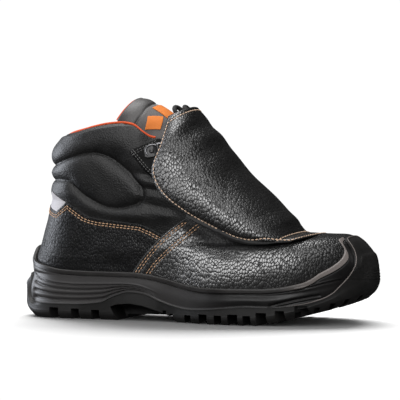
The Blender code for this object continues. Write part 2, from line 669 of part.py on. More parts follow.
def lace_ring(name, level, half, side):
    """Plate with an eye; the eye end stands a little off the facing."""
    p, n, ahead, up = surface_spot(level, half, side)
    count = 14
    a = np.arange(count) * 2 * math.pi / count
    rings = []
    for edge, top in ((1, 0), (1, 1), (0, 1), (0, 0)):
        if edge:
            u = np.where(np.cos(a) > 0, 2.4 + 4.9 * np.cos(a), -1.0 + (PLATE_LONG / 2) * np.sign(np.cos(a)) * np.abs(np.cos(a)) ** 0.45)
            w = 4.9 * np.sign(np.sin(a)) * np.abs(np.sin(a)) ** 0.8
        else:
            u = 3.0 + 2.5 * np.cos(a)
            w = 2.7 * np.sin(a)
        lift = 0.45 + 0.16 * np.clip(u + 3.0, 0, 20) + PLATE_THICK * top
        rings.append(p + u[:, None] * ahead + w[:, None] * up + lift[:, None] * n)
    return ring_solid(name, rings, "metal", closed=True)


for i, (level, half) in enumerate(LACE_RINGS):
    lace_ring("lace_ring_outer_%d" % (i + 1), level, half, -1)
    lace_ring("lace_ring_inner_%d" % (i + 1), level, half, 1)


# ---------------------------------------------------------------- lace
def tube(name, path, radius, mat, cutter=False, sides=6):
    path = np.asarray(path, float)
    tan = np.gradient(path, axis=0)
    tan /= np.linalg.norm(tan, axis=1)[:, None]
    ref = np.array([0.36, 0.52, 0.77])
    rings = []
    for p, t in zip(path, tan):
        e1 = np.cross(t, ref)
        e1 /= np.linalg.norm(e1)
        e2 = np.cross(t, e1)
        a = np.arange(sides) * 2 * math.pi / sides
        rings.append(p + radius * (np.cos(a)[:, None] * e1 + np.sin(a)[:, None] * e2))
    faces = ring_faces(len(rings), sides)
    faces += [tuple(range(sides)), tuple(range((len(rings) - 1) * sides, len(rings) * sides))]
    return make(name, np.concatenate(rings), faces, mat, cutter)


def over_throat(start, end, points=7):
    """Run of lace over the tongue, from (level, half) on one side to the other."""
    (v0, h0), (v1, h1) = start, end
    f = np.linspace(0, 1, points)
    v = v0 + (v1 - v0) * f
    a0 = -front_angle(v0, abs(h0)) if h0 < 0 else front_angle(v0, abs(h0))
    a1 = -front_angle(v1, abs(h1)) if h1 < 0 else front_angle(v1, abs(h1))
    th = math.pi + a0 + (a1 - a0) * f
    lift = 3.4 - 2.2 * np.sin(math.pi * f)
    return on_upper(th, v, lift)


LACE_INSET = 12.0           # lace turns this far inside the plates
turns = [(v, h - LACE_INSET) for v, h in LACE_RINGS]
(v0, h0) = turns[0]
tube("lace_1", over_throat((v0, -h0), (v0, h0)), LACE_RADIUS, "lace")
for i in range(len(turns) - 1):
    (va, ha), (vb, hb) = turns[i], turns[i + 1]
    first = tube("lace_%d" % (i + 2), over_throat((va + 0.27, -ha), (vb, hb)), LACE_RADIUS, "lace")
    second = tube("lace_join_%d" % (i + 2), over_throat((va + 0.27, ha), (vb, -hb)), LACE_RADIUS, "lace", cutter=True)
    m = first.modifiers.new("join", "BOOLEAN")
    m.operation = "UNION"
    m.solver = "EXACT"
    m.object = second

# Knot over the tongue, and the two loops of the bow behind the flap's top edge.
KNOT_AT = np.array([-6.2, 0.0, 161.2])
knot_at = KNOT_AT
sides, steps = 10, 7
rings = []
for k in range(1, steps):
    b = math.pi * k / steps
    a = np.arange(sides) * 2 * math.pi / sides
    across = -math.cos(b) * 6.5
    r = math.sin(b)
    rings.append(knot_at + np.stack([0 * a + across * 0, 0 * a + across, 0 * a], -1)
                 + r * (4.6 * np.cos(a)[:, None] * RIDGE_DIR + 3.4 * np.sin(a)[:, None] * RIDGE_OUT))
faces = ring_faces(len(rings), sides)
faces += [tuple(range(sides)), tuple(range((len(rings) - 1) * sides, len(rings) * sides))]
make("lace_knot", np.concatenate(rings), faces, "lace")

LOOP = (  # along the ridge, across, off the tongue
    (0.5, 9.0, 0.6), (5.0, 12.0, 1.2), (10.0, 16.0, 1.6), (15.0, 17.5, 2.2),
    (18.5, 14.0, 3.0), (18.5, 8.5, 3.4), (14.5, 5.6, 3.6), (10.0, 5.2, 3.4),
    (6.2, 5.8, 2.8),
)


def loop_path(side, points=17):
    rows = np.array(LOOP)
    u = np.linspace(0, len(rows) - 1, points)
    along, across, off = (smooth_rows(rows[:, i], u) for i in range(3))
    return knot_at + along[:, None] * RIDGE_DIR + off[:, None] * RIDGE_OUT + (side * across)[:, None] * np.array([0, 1.0, 0])


tube("lace_loop_outer", loop_path(-1), 1.9, "lace", sides=6)
tube("lace_loop_inner", loop_path(1), 1.9, "lace", sides=6)
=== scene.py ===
import math

import bpy
import bmesh
import numpy as np
from mathutils import Matrix, Vector


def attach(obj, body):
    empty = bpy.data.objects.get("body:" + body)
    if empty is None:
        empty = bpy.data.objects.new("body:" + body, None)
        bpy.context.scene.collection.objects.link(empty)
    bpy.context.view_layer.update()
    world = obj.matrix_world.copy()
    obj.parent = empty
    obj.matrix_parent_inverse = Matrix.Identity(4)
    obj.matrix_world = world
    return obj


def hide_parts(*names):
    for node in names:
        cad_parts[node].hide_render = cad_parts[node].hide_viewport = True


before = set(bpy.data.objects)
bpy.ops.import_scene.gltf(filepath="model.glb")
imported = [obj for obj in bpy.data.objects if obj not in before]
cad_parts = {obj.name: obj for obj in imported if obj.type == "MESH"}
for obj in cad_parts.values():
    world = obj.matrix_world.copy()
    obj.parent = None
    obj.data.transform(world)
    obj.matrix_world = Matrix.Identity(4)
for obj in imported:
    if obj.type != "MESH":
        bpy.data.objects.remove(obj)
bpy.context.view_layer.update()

MM = 0.001
PI = math.pi

# ================================================================ the last
TRAY_HEEL, TRAY_FORE, TRAY_TOE_RISE = 31.0, 20.0, 14.0
HEEL_X, WAIST_X, BALL_X = -105.0, -25.0, 45.0
SPRING_START, SPRING_RISE = 60.0, 12.4
WALL = 3.0
CENTRE_LINE = ((-153.0, 0.0), (-105.0, 0.0), (-25.0, -3.0), (45.0, -0.5), (153.0, 9.0))

UPPER_COLUMNS = ("x_back", "z_back", "x_front", "z_front", "crown", "w_heel",
                 "w_waist", "w_ball", "run_back", "run_front", "sway",
                 "follow", "rise", "wall", "roll")
UPPER_ROWS = (
    (-141.0, 31.0, 142.5, 35.0, 0.0, 31.5, 30.0, 46.0, 36, 66, 1.0, 1.0, 0.35, 3.0, 0.0),
    (-144.0, 39.0, 146.0, 43.0, 0.0, 34.5, 33.0, 49.5, 38, 69, 1.0, 1.0, 8.0, 3.0, 0.0),
    (-144.4, 45.0, 146.8, 48.0, 0.0, 35.5, 34.0, 50.0, 38, 69, 1.0, 0.55, 16.0, 3.0, 0.0),
    (-143.4, 50.0, 142.9, 56.6, 0.0, 36.0, 34.5, 48.8, 38, 68, 1.0, 0.2, 23.0, 3.0, 0.6),
    (-142.0, 55.5, 136.9, 64.4, 0.0, 36.0, 35.0, 46.8, 38, 66, 1.0, 0.0, 30.0, 3.0, 2.4),
    (-140.2, 61.0, 126.8, 70.3, 0.0, 36.2, 35.2, 44.6, 38, 64, 1.0, 0.0, 37.0, 3.0, 4.6),
    (-138.4, 67.0, 112.0, 71.0, 0.0, 36.3, 35.4, 42.6, 38, 62, 0.9, 0.0, 44.0, 3.0, 5.6),
    (-136.6, 73.5, 90.0, 72.0, 0.0, 36.3, 35.6, 40.6, 38, 60, 0.8, 0.0, 51.0, 3.0, 5.0),
    (-134.4, 81.0, 68.0, 81.5, 0.0, 36.3, 35.8, 39.2, 38, 60, 0.6, 0.0, 58.0, 3.0, 2.6),
    (-132.2, 91.0, 47.5, 101.0, 0.0, 36.6, 36.2, 38.0, 38, 60, 0.5, 0.0, 65.0, 3.6, 0.8),
    (-130.3, 102.0, 26.5, 122.5, 0.0, 37.4, 37.0, 37.0, 39, 60, 0.4, 0.0, 72.0, 5.0, 0.0),
    (-129.8, 114.0, 8.5, 142.0, 0.0, 38.4, 38.2, 37.0, 40, 60, 0.3, 0.0, 79.0, 7.5, 0.0),
    (-129.6, 126.0, -4.0, 151.0, 0.5, 39.2, 39.0, 38.0, 41, 59, 0.2, 0.0, 86.0, 9.5, 0.0),
    (-128.6, 138.0, -14.0, 155.5, 5.0, 39.0, 39.0, 38.0, 42, 56, 0.1, 0.0, 93.0, 10.0, 0.0),
    (-119.5, 150.0, -24.0, 157.0, 12.0, 34.6, 34.6, 34.6, 38, 50, 0.0, 0.0, 100.0, 5.0, 0.0),
)
LAST_LEVEL = 14.0
RIM_AT_TOE = ((0.0, 4.95), (0.16, 4.9), (0.25, 4.74), (0.318, 4.5), (0.34, 4.08), (0.362, 3.48), (0.412, 2.9),
              (0.49, 2.38), (0.58, 1.97), (0.665, 1.66), (0.73, 1.36), (0.80, 1.2), (1.05, 1.1), (1.57, 1.05))
RIM_AT_HEEL = ((0.0, 4.2), (0.10, 3.9), (0.18, 2.9), (0.28, 2.1), (0.52, 1.5),
               (0.76, 1.12), (1.0, 1.05), (1.57, 1.05))
SOLE_COLUMNS = ("x_back", "x_front", "w_heel", "w_waist", "w_ball", "run_back", "run_front")
SOLE_ROWS = {
    "tread_edge": (-149.0, 143.0, 36.5, 35.0, 52.5, 40, 78),
    "low_wall": (-153.3, 148.8, 39.0, 37.5, 55.0, 42, 80),
    "widest": (-154.6, 152.3, 39.6, 38.0, 55.6, 43, 80),
    "mid_wall": (-150.8, 149.0, 38.2, 36.6, 54.0, 41, 77),
    "mid_foot": (-149.6, 147.6, 36.6, 35.0, 52.4, 40, 76),
}
PARTING = ((-153.0, 11.0), (-100.0, 11.0), (-75.0, 13.0), (-61.0, 19.0), (-48.0, 22.5),
           (-36.0, 21.5), (-22.0, 16.0), (-6.0, 11.5), (8.0, 9.8), (46.0, 12.6),
           (60.0, 13.6), (76.0, 13.4), (92.0, 14.8), (108.0, 17.4), (122.0, 20.6),
           (153.0, 30.0))
WRAP_TOP_TOE = ((0.0, 1.0, 4.7), (0.12, 1.0, 4.66), (0.20, 1.0, 4.5), (0.245, 1.0, 4.0), (0.27, 1.0, 3.2),
                (0.305, 1.0, 2.5), (0.345, 0.97, 1.95), (0.38, 0.93, 1.58), (0.43, 0.8, 1.28), (0.50, 0.55, 1.15),
                (0.575, 0.25, 1.05), (0.67, 0.08, 1.0), (0.80, 0.0, 1.0), (1.57, 0.0, 1.0))
WRAP_TOP_HEEL = ((0.0, 25.0), (0.18, 24.0), (0.26, 17.0), (0.34, 6.0), (0.42, 1.6), (0.5, 1.2), (1.57, 1.2))
ARCH_CUT = ((-57.5, -6.0), (-59.0, 0.0), (-65.0, 11.2), (-60.0, 13.0), (-48.0, 14.2),
            (-36.0, 12.6), (-22.0, 8.6), (-10.0, 4.6), (-5.0, 0.0), (-4.0, -6.0))
RIDGE_DIR = np.array([-0.72, 0.0, 0.694])
RIDGE_OUT = np.array([0.694, 0.0, 0.72])


def table(rows, columns):
    data = np.array(rows, float)
    return {name: data[:, i] for i, name in enumerate(columns)}


def smooth_rows(values, v):
    values = np.asarray(values, float)
    v = np.clip(np.asarray(v, float), 0.0, len(values) - 1.0)
    i = np.clip(np.floor(v).astype(int), 0, len(values) - 2)
    f = v - i
    last = len(values) - 1
    p0, p1 = values[np.clip(i - 1, 0, last)], values[i]
    p2, p3 = values[i + 1], values[np.clip(i + 2, 0, last)]
    return p1 + 0.5 * f * (p2 - p0 + f * (2 * p0 - 5 * p1 + 4 * p2 - p3
                                          + f * (3 * (p1 - p2) + p3 - p0)))


def ease(pairs, x, col=1):
    data = np.array(pairs, float)
    xs, ys = data[:, 0], data[:, col]
    h = np.diff(xs)
    d = np.diff(ys) / h
    m = np.zeros(len(xs))
    for k in range(1, len(xs) - 1):
        if d[k - 1] * d[k] > 0:
            a, b = 2 * h[k] + h[k - 1], h[k] + 2 * h[k - 1]
            m[k] = (a + b) / (a / d[k - 1] + b / d[k])
    x = np.clip(np.asarray(x, float), xs[0], xs[-1])
    k = np.clip(np.searchsorted(xs, x) - 1, 0, len(xs) - 2)
    s = (x - xs[k]) / h[k]
    return ((1 + 2 * s) * (1 - s) ** 2 * ys[k] + s * (1 - s) ** 2 * h[k] * m[k]
            + s * s * (3 - 2 * s) * ys[k + 1] + s * s * (s - 1) * h[k] * m[k + 1])


def step(lo, hi, x):
    t = np.clip((np.asarray(x, float) - lo) / (hi - lo), 0, 1)
    return t * t * (3 - 2 * t)


def tray(x):
    x = np.asarray(x, float)
    fall = np.clip((x + 48.0) / 74.0, 0, 1)
    fall = fall * fall * (3 - 2 * fall)
    toe = np.clip((x - 70.0) / 72.0, 0, 2)
    return TRAY_HEEL + (TRAY_FORE - TRAY_HEEL) * fall + TRAY_TOE_RISE * toe ** 1.7


def tread(x):
    x = np.asarray(x, float)
    toe = np.clip((x - SPRING_START) / 60.0, 0, 2)
    back = np.clip((-134.0 - x) / 20.0, 0, 2)
    return SPRING_RISE * toe ** 1.6 + 7.0 * back ** 2


def half_width(x, x_back, x_front, w_heel, w_waist, w_ball, run_back, run_front):
    s1 = np.clip((x - HEEL_X) / (WAIST_X - HEEL_X), 0, 1)
    s2 = np.clip((x - WAIST_X) / (BALL_X - WAIST_X), 0, 1)
    s1, s2 = s1 * s1 * (3 - 2 * s1), s2 * s2 * (3 - 2 * s2)
    body = w_heel + (w_waist - w_heel) * s1 + (w_ball - w_waist) * s2
    qb = np.clip(1 - (x - x_back) / run_back, 0, 1)
    qf = np.clip(1 - (x_front - x) / run_front, 0, 1)
    ends = np.sqrt(1 - qb ** 2) * (1 - qf ** 2.15) ** (1 / 2.15)
    return body * ends, ends


UPPER = table(UPPER_ROWS, UPPER_COLUMNS)


def last(theta, v):
    """Outer face of the upper: angle from the heel (outer side positive), level."""
    theta, v = np.broadcast_arrays(np.asarray(theta, float), np.asarray(v, float))
    c = {name: smooth_rows(UPPER[name], v) for name in UPPER_COLUMNS}
    t = (1 - np.cos(theta)) / 2
    x = c["x_back"] + t * (c["x_front"] - c["x_back"])
    w, ends = half_width(x, c["x_back"], c["x_front"], c["w_heel"], c["w_waist"],
                         c["w_ball"], c["run_back"], c["run_front"])
    side = np.where(np.sin(theta) >= 0, -1.0, 1.0)
    y = ease(CENTRE_LINE, x) * c["sway"] + side * w
    s = t ** 1.25
    z = (c["z_back"] + t * (c["z_front"] - c["z_back"]) + c["crown"] * 4 * s * (1 - s)
         - c["roll"] * ends ** 2)
    follow = np.clip(c["follow"], 0, 1)
    z = (1 - follow) * z + follow * (tray(x) + c["rise"])
    return np.stack([x, y, z], -1)


def last_normal(theta, v, h=0.02):
    theta, v = np.broadcast_arrays(np.asarray(theta, float), np.asarray(v, float))
    a = last(theta + h, v) - last(theta - h, v)
    b = last(theta, np.clip(v + h, 0, LAST_LEVEL)) - last(theta, np.clip(v - h, 0, LAST_LEVEL))
    n = np.cross(a, b)
    return n / np.linalg.norm(n, axis=-1, keepdims=True)


def wall_at(theta, v):
    pad = smooth_rows(UPPER["wall"], v)
    away = np.clip((np.abs(np.abs(theta) - PI) - 0.55) / 0.5, 0, 1)
    return WALL + (pad - WALL) * away * away * (3 - 2 * away)


def sole_ring(name, theta, z):
    c = dict(zip(SOLE_COLUMNS, SOLE_ROWS[name]))
    t = (1 - np.cos(theta)) / 2
    x = c["x_back"] + t * (c["x_front"] - c["x_back"])
    w, _ = half_width(x, **c)
    side = np.where(np.sin(theta) >= 0, -1.0, 1.0)
    y = ease(CENTRE_LINE, x) + side * w
    return np.stack([x, y, np.broadcast_to(z(x) if callable(z) else z, x.shape)], -1)


_wide = sole_ring("widest", np.linspace(0, 2 * PI, 721), 0.0)
SHIFT = np.array([-(_wide[:, 0].min() + _wide[:, 0].max()) / 2,
                  -(_wide[:, 1].min() + _wide[:, 1].max()) / 2, 0.0])


def place(points):
    return (np.asarray(points, float) + SHIFT) * MM


# ================================================================ mesh making
def unit(a):
    return a / np.maximum(np.linalg.norm(a, axis=-1, keepdims=True), 1e-12)


def piece(name, verts, quads, mats, index=None, stands=(), sharp=None, ride=True):
    """Object from quads, wound outwards, riding on the boot."""
    verts = place(verts)
    quads = np.asarray(quads, np.int32)
    a, b, c, d = (verts[quads[:, k]] for k in range(4))
    volume = (np.einsum("ij,ij->i", a, np.cross(b, c)) + np.einsum("ij,ij->i", a, np.cross(c, d))).sum()
    if volume < 0:
        quads = quads[:, ::-1]
    me = bpy.data.meshes.new(name)
    n = len(quads)
    me.vertices.add(len(verts))
    me.vertices.foreach_set("co", verts.astype(np.float32).ravel())
    me.loops.add(n * 4)
    me.loops.foreach_set("vertex_index", quads.ravel())
    me.polygons.add(n)
    me.polygons.foreach_set("loop_start", np.arange(0, 4 * n, 4, dtype=np.int32))
    for m in mats if isinstance(mats, (list, tuple)) else [mats]:
        me.materials.append(m)
    if index is not None:
        me.polygons.foreach_set("material_index", np.asarray(index, np.int32))
    me.polygons.foreach_set("use_smooth", np.ones(n, bool))
    me.update(calc_edges=True)
    me.validate()
    if sharp:
        me.set_sharp_from_angle(angle=sharp)
    ob = bpy.data.objects.new(name, me)
    bpy.context.scene.collection.objects.link(ob)
    if ride:
        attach(ob, "root")
    if stands:
        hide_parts(*stands)
    return ob


def grid_quads(r, c, start=0):
    i = np.arange(r * c).reshape(r, c) + start
    return np.stack([i[:-1, :-1], i[:-1, 1:], i[1:, 1:], i[1:, :-1]], -1).reshape(-1, 4)


def slab(P, N, out, inn, seg=4):
    """Closed plate between P + N*out and P - N*inn with a round edge: verts, quads, part (0 face, 1 edge, 2 back)."""
    r, c = P.shape[:2]
    out, inn = np.broadcast_to(out, (r, c)), np.broadcast_to(inn, (r, c))
    top, bot = P + N * out[..., None], P - N * inn[..., None]
    verts = [top.reshape(-1, 3), bot.reshape(-1, 3)]
    q = [grid_quads(r, c), grid_quads(r, c, r * c)[:, ::-1]]
    part = [np.zeros(len(q[0])), np.full(len(q[1]), 2)]
    ij = ([(0, j) for j in range(c)] + [(i, c - 1) for i in range(1, r)]
          + [(r - 1, j) for j in range(c - 2, -1, -1)] + [(i, 0) for i in range(r - 2, 0, -1)])
    ii, jj = np.array(ij).T
    ni, nj = np.clip(ii, 1, r - 2), np.clip(jj, 1, c - 2)
    nb = N[ii, jj]
    o = P[ii, jj] - P[ni, nj]
    o = unit(o - nb * (o * nb).sum(-1, keepdims=True))
    mid = (top[ii, jj] + bot[ii, jj]) / 2
    half = ((out + inn)[ii, jj] / 2)[:, None]
    rings = [ii * c + jj]
    base = 2 * r * c
    for k in range(1, seg):
        f = PI * k / seg
        verts.append(mid + nb * half * math.cos(f) + o * half * math.sin(f))
        rings.append(np.arange(len(ii)) + base)
        base += len(ii)
    rings.append(ii * c + jj + r * c)
    for a, b in zip(rings[:-1], rings[1:]):
        e = np.stack([a, b, np.roll(b, -1), np.roll(a, -1)], -1)
        q.append(e)
        part.append(np.ones(len(e)))
    return np.concatenate(verts), np.concatenate(q), np.concatenate(part)


def tube(path, radius, sides=10, flat=1.0, up=None):
    """Closed tube round a path; radius may vary; flat < 1 squeezes it across 'up'."""
    path = np.asarray(path, float)
    n = len(path)
    tan = unit(np.gradient(path, axis=0))
    radius = np.broadcast_to(radius, (n,))
    if up is None:
        ref = np.array([0.31, 0.52, 0.79])
        up = unit(np.cross(tan, ref))
        for k in range(1, n):
            u = up[k - 1] - tan[k] * (up[k - 1] @ tan[k])
            up[k] = u / np.linalg.norm(u)
    else:
        up = unit(up - tan * (up * tan).sum(-1, keepdims=True))
    side = np.cross(tan, up)
    a = np.arange(sides) * 2 * PI / sides
    ring = (path[:, None] + radius[:, None, None]
            * (np.cos(a)[None, :, None] * side[:, None] + flat * np.sin(a)[None, :, None] * up[:, None]))
    verts = np.concatenate([ring.reshape(-1, 3), path[:1], path[-1:]])
    i = np.arange(n * sides).reshape(n, sides)
    q = np.stack([i[:-1], np.roll(i, -1, 1)[:-1], np.roll(i, -1, 1)[1:], i[1:]], -1).reshape(-1, 4)
    c0, c1 = n * sides, n * sides + 1
    half = np.arange(0, sides, 2)
    cap0 = np.stack([np.full(len(half), c0), i[0, (half + 2) % sides], i[0, (half + 1) % sides], i[0, half]], -1)
    cap1 = np.stack([np.full(len(half), c1), i[-1, half], i[-1, (half + 1) % sides], i[-1, (half + 2) % sides]], -1)
    return verts, np.concatenate([q, cap0, cap1])


def join(parts):
    verts, quads, base = [], [], 0
    for v, q in parts:
        verts.append(v)
        quads.append(np.asarray(q) + base)
        base += len(v)
    return np.concatenate(verts), np.concatenate(quads)


def near(points, line):
    """Distance of each point from a polyline's dense points."""
    flat = points.reshape(-1, points.shape[-1])
    out = np.empty(len(flat))
    for k in range(0, len(flat), 4000):
        part = flat[k:k + 4000]
        out[k:k + 4000] = np.sqrt(((part[:, None] - line[None]) ** 2).sum(-1).min(-1))
    return out.reshape(points.shape[:-1])


def through(rows, count, smooth=True):
    """Points of a short table, joined by a smooth or straight line, evenly spaced."""
    data = np.array(rows, float)
    u = np.linspace(0, len(data) - 1, 24 * len(data))
    if smooth:
        fine = np.stack([smooth_rows(data[:, k], u) for k in range(data.shape[1])], -1)
    else:
        fine = np.stack([np.interp(u, np.arange(len(data)), data[:, k]) for k in range(data.shape[1])], -1)
    return even(fine, count)


def even(fine, count, solid=None):
    solid = fine if solid is None else solid
    run = np.concatenate([[0], np.cumsum(np.linalg.norm(np.diff(solid, axis=0), axis=1))])
    s = np.linspace(0, run[-1], count)
    return np.stack([np.interp(s, run, fine[:, k]) for k in range(fine.shape[1])], -1)


def on_last(rows, count, smooth=True):
    """A line drawn on the last through (angle, level) rows, evenly spaced in mm."""
    data = np.array(rows, float)
    u = np.linspace(0, len(data) - 1, 24 * len(data))
    if smooth:
        fine = np.stack([smooth_rows(data[:, k], u) for k in (0, 1)], -1)
    else:
        fine = np.stack([np.interp(u, np.arange(len(data)), data[:, k]) for k in (0, 1)], -1)
    return even(fine, count, last(fine[:, 0], fine[:, 1]))


SIDE_T, SIDE_V = np.meshgrid(np.linspace(0.03, PI - 0.1, 260), np.linspace(0.3, 13.9, 220), indexing="ij")
SIDE_P = last(SIDE_T, SIDE_V)


def from_side(rows, count=200, smooth=True):
    """Line drawn in side view through (x, z) rows, as (angle, level) on the outer side."""
    line = through(rows, count, smooth)
    out = []
    for x, z in line:
        k = np.argmin((SIDE_P[..., 0] - x) ** 2 + (SIDE_P[..., 2] - z) ** 2)
        a, v = SIDE_T.flat[k], SIDE_V.flat[k]
        for _ in range(5):
            q = last(np.array([a, a + 1e-3, a]), np.array([v, v, v + 1e-3]))[:, [0, 2]]
            jac = np.stack([(q[1] - q[0]) / 1e-3, (q[2] - q[0]) / 1e-3], -1)
            move = np.linalg.lstsq(jac, np.array([x, z]) - q[0], rcond=None)[0]
            a, v = a + np.clip(move[0], -0.05, 0.05), np.clip(v + np.clip(move[1], -0.3, 0.3), 0.2, 13.95)
        out.append((a, v))
    return np.array(out)


def coons(bottom, top, left, right):
    """Patch between four lines of (angle, level)."""
    u = np.linspace(0, 1, len(bottom))[None, :, None]
    w = np.linspace(0, 1, len(left))[:, None, None]
    b, t, l, r = bottom[None], top[None], left[:, None], right[:, None]
    return ((1 - w) * b + w * t + (1 - u) * l + u * r
            - ((1 - u) * (1 - w) * b[:, :1] + u * (1 - w) * b[:, -1:]
               + (1 - u) * w * t[:, :1] + u * w * t[:, -1:]))


def mirror(rows):
    """The same line on the inner side, run backwards."""
    return [(-a, v) for a, v in rows][::-1]


def rough_noise(p, size, seed=0.0):
    """Soft repeatable unevenness made of a few sine waves, about -1 to 1."""
    x, y, z = (p[..., k] / size for k in range(3))
    return (np.sin(1.7 * x + 2.3 * z + seed) * np.cos(1.1 * y - 1.9 * x + 2 * seed)
            + 0.6 * np.sin(3.1 * z - 1.3 * y + 3 * seed) * np.cos(2.7 * x + 0.7 * z + seed)) / 1.6


# ================================================================ materials
def nodes_of(name):
    m = bpy.data.materials.new(name)
    m.use_nodes = True
    t = m.node_tree
    return m, t, t.nodes["Principled BSDF"]


def add(t, kind, **values):
    n = t.nodes.new(kind)
    for k, v in values.items():
        if hasattr(n, k):
            setattr(n, k, v)
        else:
            n.inputs[k.replace("_", " ")].default_value = v
    return n


def math_node(t, op, a, b=None, clamp=False):
    n = t.nodes.new("ShaderNodeMath")
    n.operation = op
    n.use_clamp = clamp
    for i, v in enumerate((a, b)):
        if v is None:
            continue
        if isinstance(v, (int, float)):
            n.inputs[i].default_value = v
        else:
            t.links.new(v, n.inputs[i])
    return n.outputs[0]


def map_range(t, v, a, b, c, d, smooth=True):
    n = t.nodes.new("ShaderNodeMapRange")
    n.interpolation_type = "SMOOTHSTEP" if smooth else "LINEAR"
    t.links.new(v, n.inputs["Value"])
    for k, x in zip(("From Min", "From Max", "To Min", "To Max"), (a, b, c, d)):
        n.inputs[k].default_value = x
    return n.outputs[0]


def mix_colour(t, f, a, b):
    n = t.nodes.new("ShaderNodeMix")
    n.data_type = "RGBA"
    t.links.new(f, n.inputs["Factor"])
    for key, v in (("A", a), ("B", b)):
        s = [i for i in n.inputs if i.name == key and i.type == "RGBA"][0]
        if isinstance(v, tuple):
            s.default_value = (*v, 1)
        else:
            t.links.new(v, s)
    return [o for o in n.outputs if o.type == "RGBA"][0]


def coords(t, scale=(1, 1, 1), turn=(0, 0, 0)):
    tc = t.nodes.new("ShaderNodeTexCoord")
    mp = add(t, "ShaderNodeMapping")
    mp.inputs["Scale"].default_value = scale
    mp.inputs["Rotation"].default_value = turn
    t.links.new(tc.outputs["Object"], mp.inputs["Vector"])
    return mp.outputs["Vector"]


def noise(t, vec, scale, detail=3.0, rough=0.55):
    n = add(t, "ShaderNodeTexNoise")
    n.inputs["Scale"].default_value = scale
    n.inputs["Detail"].default_value = detail
    n.inputs["Roughness"].default_value = rough
    t.links.new(vec, n.inputs["Vector"])
    return n


def bump(t, height, distance, strength=1.0, normal=None):
    n = t.nodes.new("ShaderNodeBump")
    n.inputs["Strength"].default_value = strength
    n.inputs["Distance"].default_value = distance
    t.links.new(height, n.inputs["Height"])
    if normal is not None:
        t.links.new(normal, n.inputs["Normal"])
    return n.outputs["Normal"]


def pebbled(name, low, high, cell=(2.05, 2.1, 3.3), depth=0.00024, rough=0.6, turn=(0, 0, 0),
            finish=0.27, spec=0.15, coat=1.0, shade_under_flap=None):
    """Grained leather: rounded pebbles with a polished finish and dull creases between them."""
    m, t, b = nodes_of(name)
    vec = coords(t)
    warp = noise(t, vec, 260.0, 2.0)
    sub = t.nodes.new("ShaderNodeVectorMath")
    sub.operation = "MULTIPLY_ADD"
    t.links.new(warp.outputs["Color"], sub.inputs[0])
    sub.inputs[1].default_value = (0.0007,) * 3
    t.links.new(vec, sub.inputs[2])
    mp = add(t, "ShaderNodeMapping")
    mp.inputs["Rotation"].default_value = turn
    mp.inputs["Scale"].default_value = tuple(1000.0 / c for c in cell)
    t.links.new(sub.outputs[0], mp.inputs["Vector"])
    edge = add(t, "ShaderNodeTexVoronoi", feature="DISTANCE_TO_EDGE")
    heart = add(t, "ShaderNodeTexVoronoi", feature="F1")
    for vo in (edge, heart):
        vo.inputs["Scale"].default_value = 1.0
        vo.inputs["Randomness"].default_value = 0.85
        t.links.new(mp.outputs["Vector"], vo.inputs["Vector"])
    peb = map_range(t, edge.outputs["Distance"], 0.0, 0.16, 0.0, 1.0)
    fine = noise(t, vec, 2600.0, 3.0)
    broad = noise(t, vec, 55.0, 3.0)
    amount = map_range(t, broad.outputs["Fac"], 0.3, 0.7, 0.65, 1.0)
    round_off = math_node(t, "MULTIPLY", heart.outputs["Distance"], heart.outputs["Distance"])
    dome = math_node(t, "SUBTRACT", 1.0, math_node(t, "MULTIPLY", round_off, 1.5))
    h = math_node(t, "MULTIPLY", math_node(t, "ADD", math_node(t, "MULTIPLY", peb, 0.3), dome), amount)
    h = math_node(t, "ADD", h, math_node(t, "MULTIPLY", fine.outputs["Fac"], 0.03))
    relief = bump(t, h, depth)
    t.links.new(relief, b.inputs["Normal"])
    t.links.new(relief, b.inputs["Coat Normal"])
    # base colour darker in the creases as painted shade, over a random broad tone
    tone = math_node(t, "MULTIPLY", peb, map_range(t, broad.outputs["Fac"], 0.25, 0.75, 0.6, 1.0))
    t.links.new(mix_colour(t, tone, low, high), b.inputs["Base Color"])
    t.links.new(map_range(t, broad.outputs["Fac"], 0.2, 0.8, rough - 0.05, rough + 0.06), b.inputs["Roughness"])
    b.inputs["Specular IOR Level"].default_value = spec
    polish = map_range(t, edge.outputs["Distance"], 0.0, 0.15, 0.02, 1.0)
    # random patchy wear of the coat; when a flap shade is given, it also carries the painted shade below
    wear_and_shade = map_range(t, broad.outputs["Fac"], 0.2, 0.7, 0.85 * coat, coat)
    if shade_under_flap:
        # painted shade: the coat is cut back under the flap's overhang, above a bowl-shaped line in x and z, towards
        # the waist, and low at the toe, standing in for the flap's shadow and the falloff of the highlight
        at_x, at_z, bend = shade_under_flap
        split = t.nodes.new("ShaderNodeSeparateXYZ")
        t.links.new(vec, split.inputs[0])
        off = math_node(t, "SUBTRACT", split.outputs["X"], at_x)
        line = math_node(t, "MULTIPLY", math_node(t, "MULTIPLY", off, off), bend)
        below = math_node(t, "SUBTRACT", math_node(t, "SUBTRACT", split.outputs["Z"], at_z), line)
        wear_and_shade = math_node(t, "MULTIPLY", wear_and_shade, map_range(t, below, -0.0025, 0.0025, 1.0, 0.03))
        wear_and_shade = math_node(t, "MULTIPLY", wear_and_shade, map_range(t, split.outputs["X"], -0.03, 0.01, 0.4, 1.0))
        low_toe = math_node(t, "SUBTRACT", split.outputs["Z"], math_node(t, "MULTIPLY", split.outputs["X"], 0.29))
        wear_and_shade = math_node(t, "MULTIPLY", wear_and_shade, map_range(t, low_toe, 0.016, 0.027, 0.3, 1.0))
    t.links.new(math_node(t, "MULTIPLY", polish, wear_and_shade), b.inputs["Coat Weight"])
    b.inputs["Coat Roughness"].default_value = finish
    b.inputs["Coat IOR"].default_value = 1.75
    return m


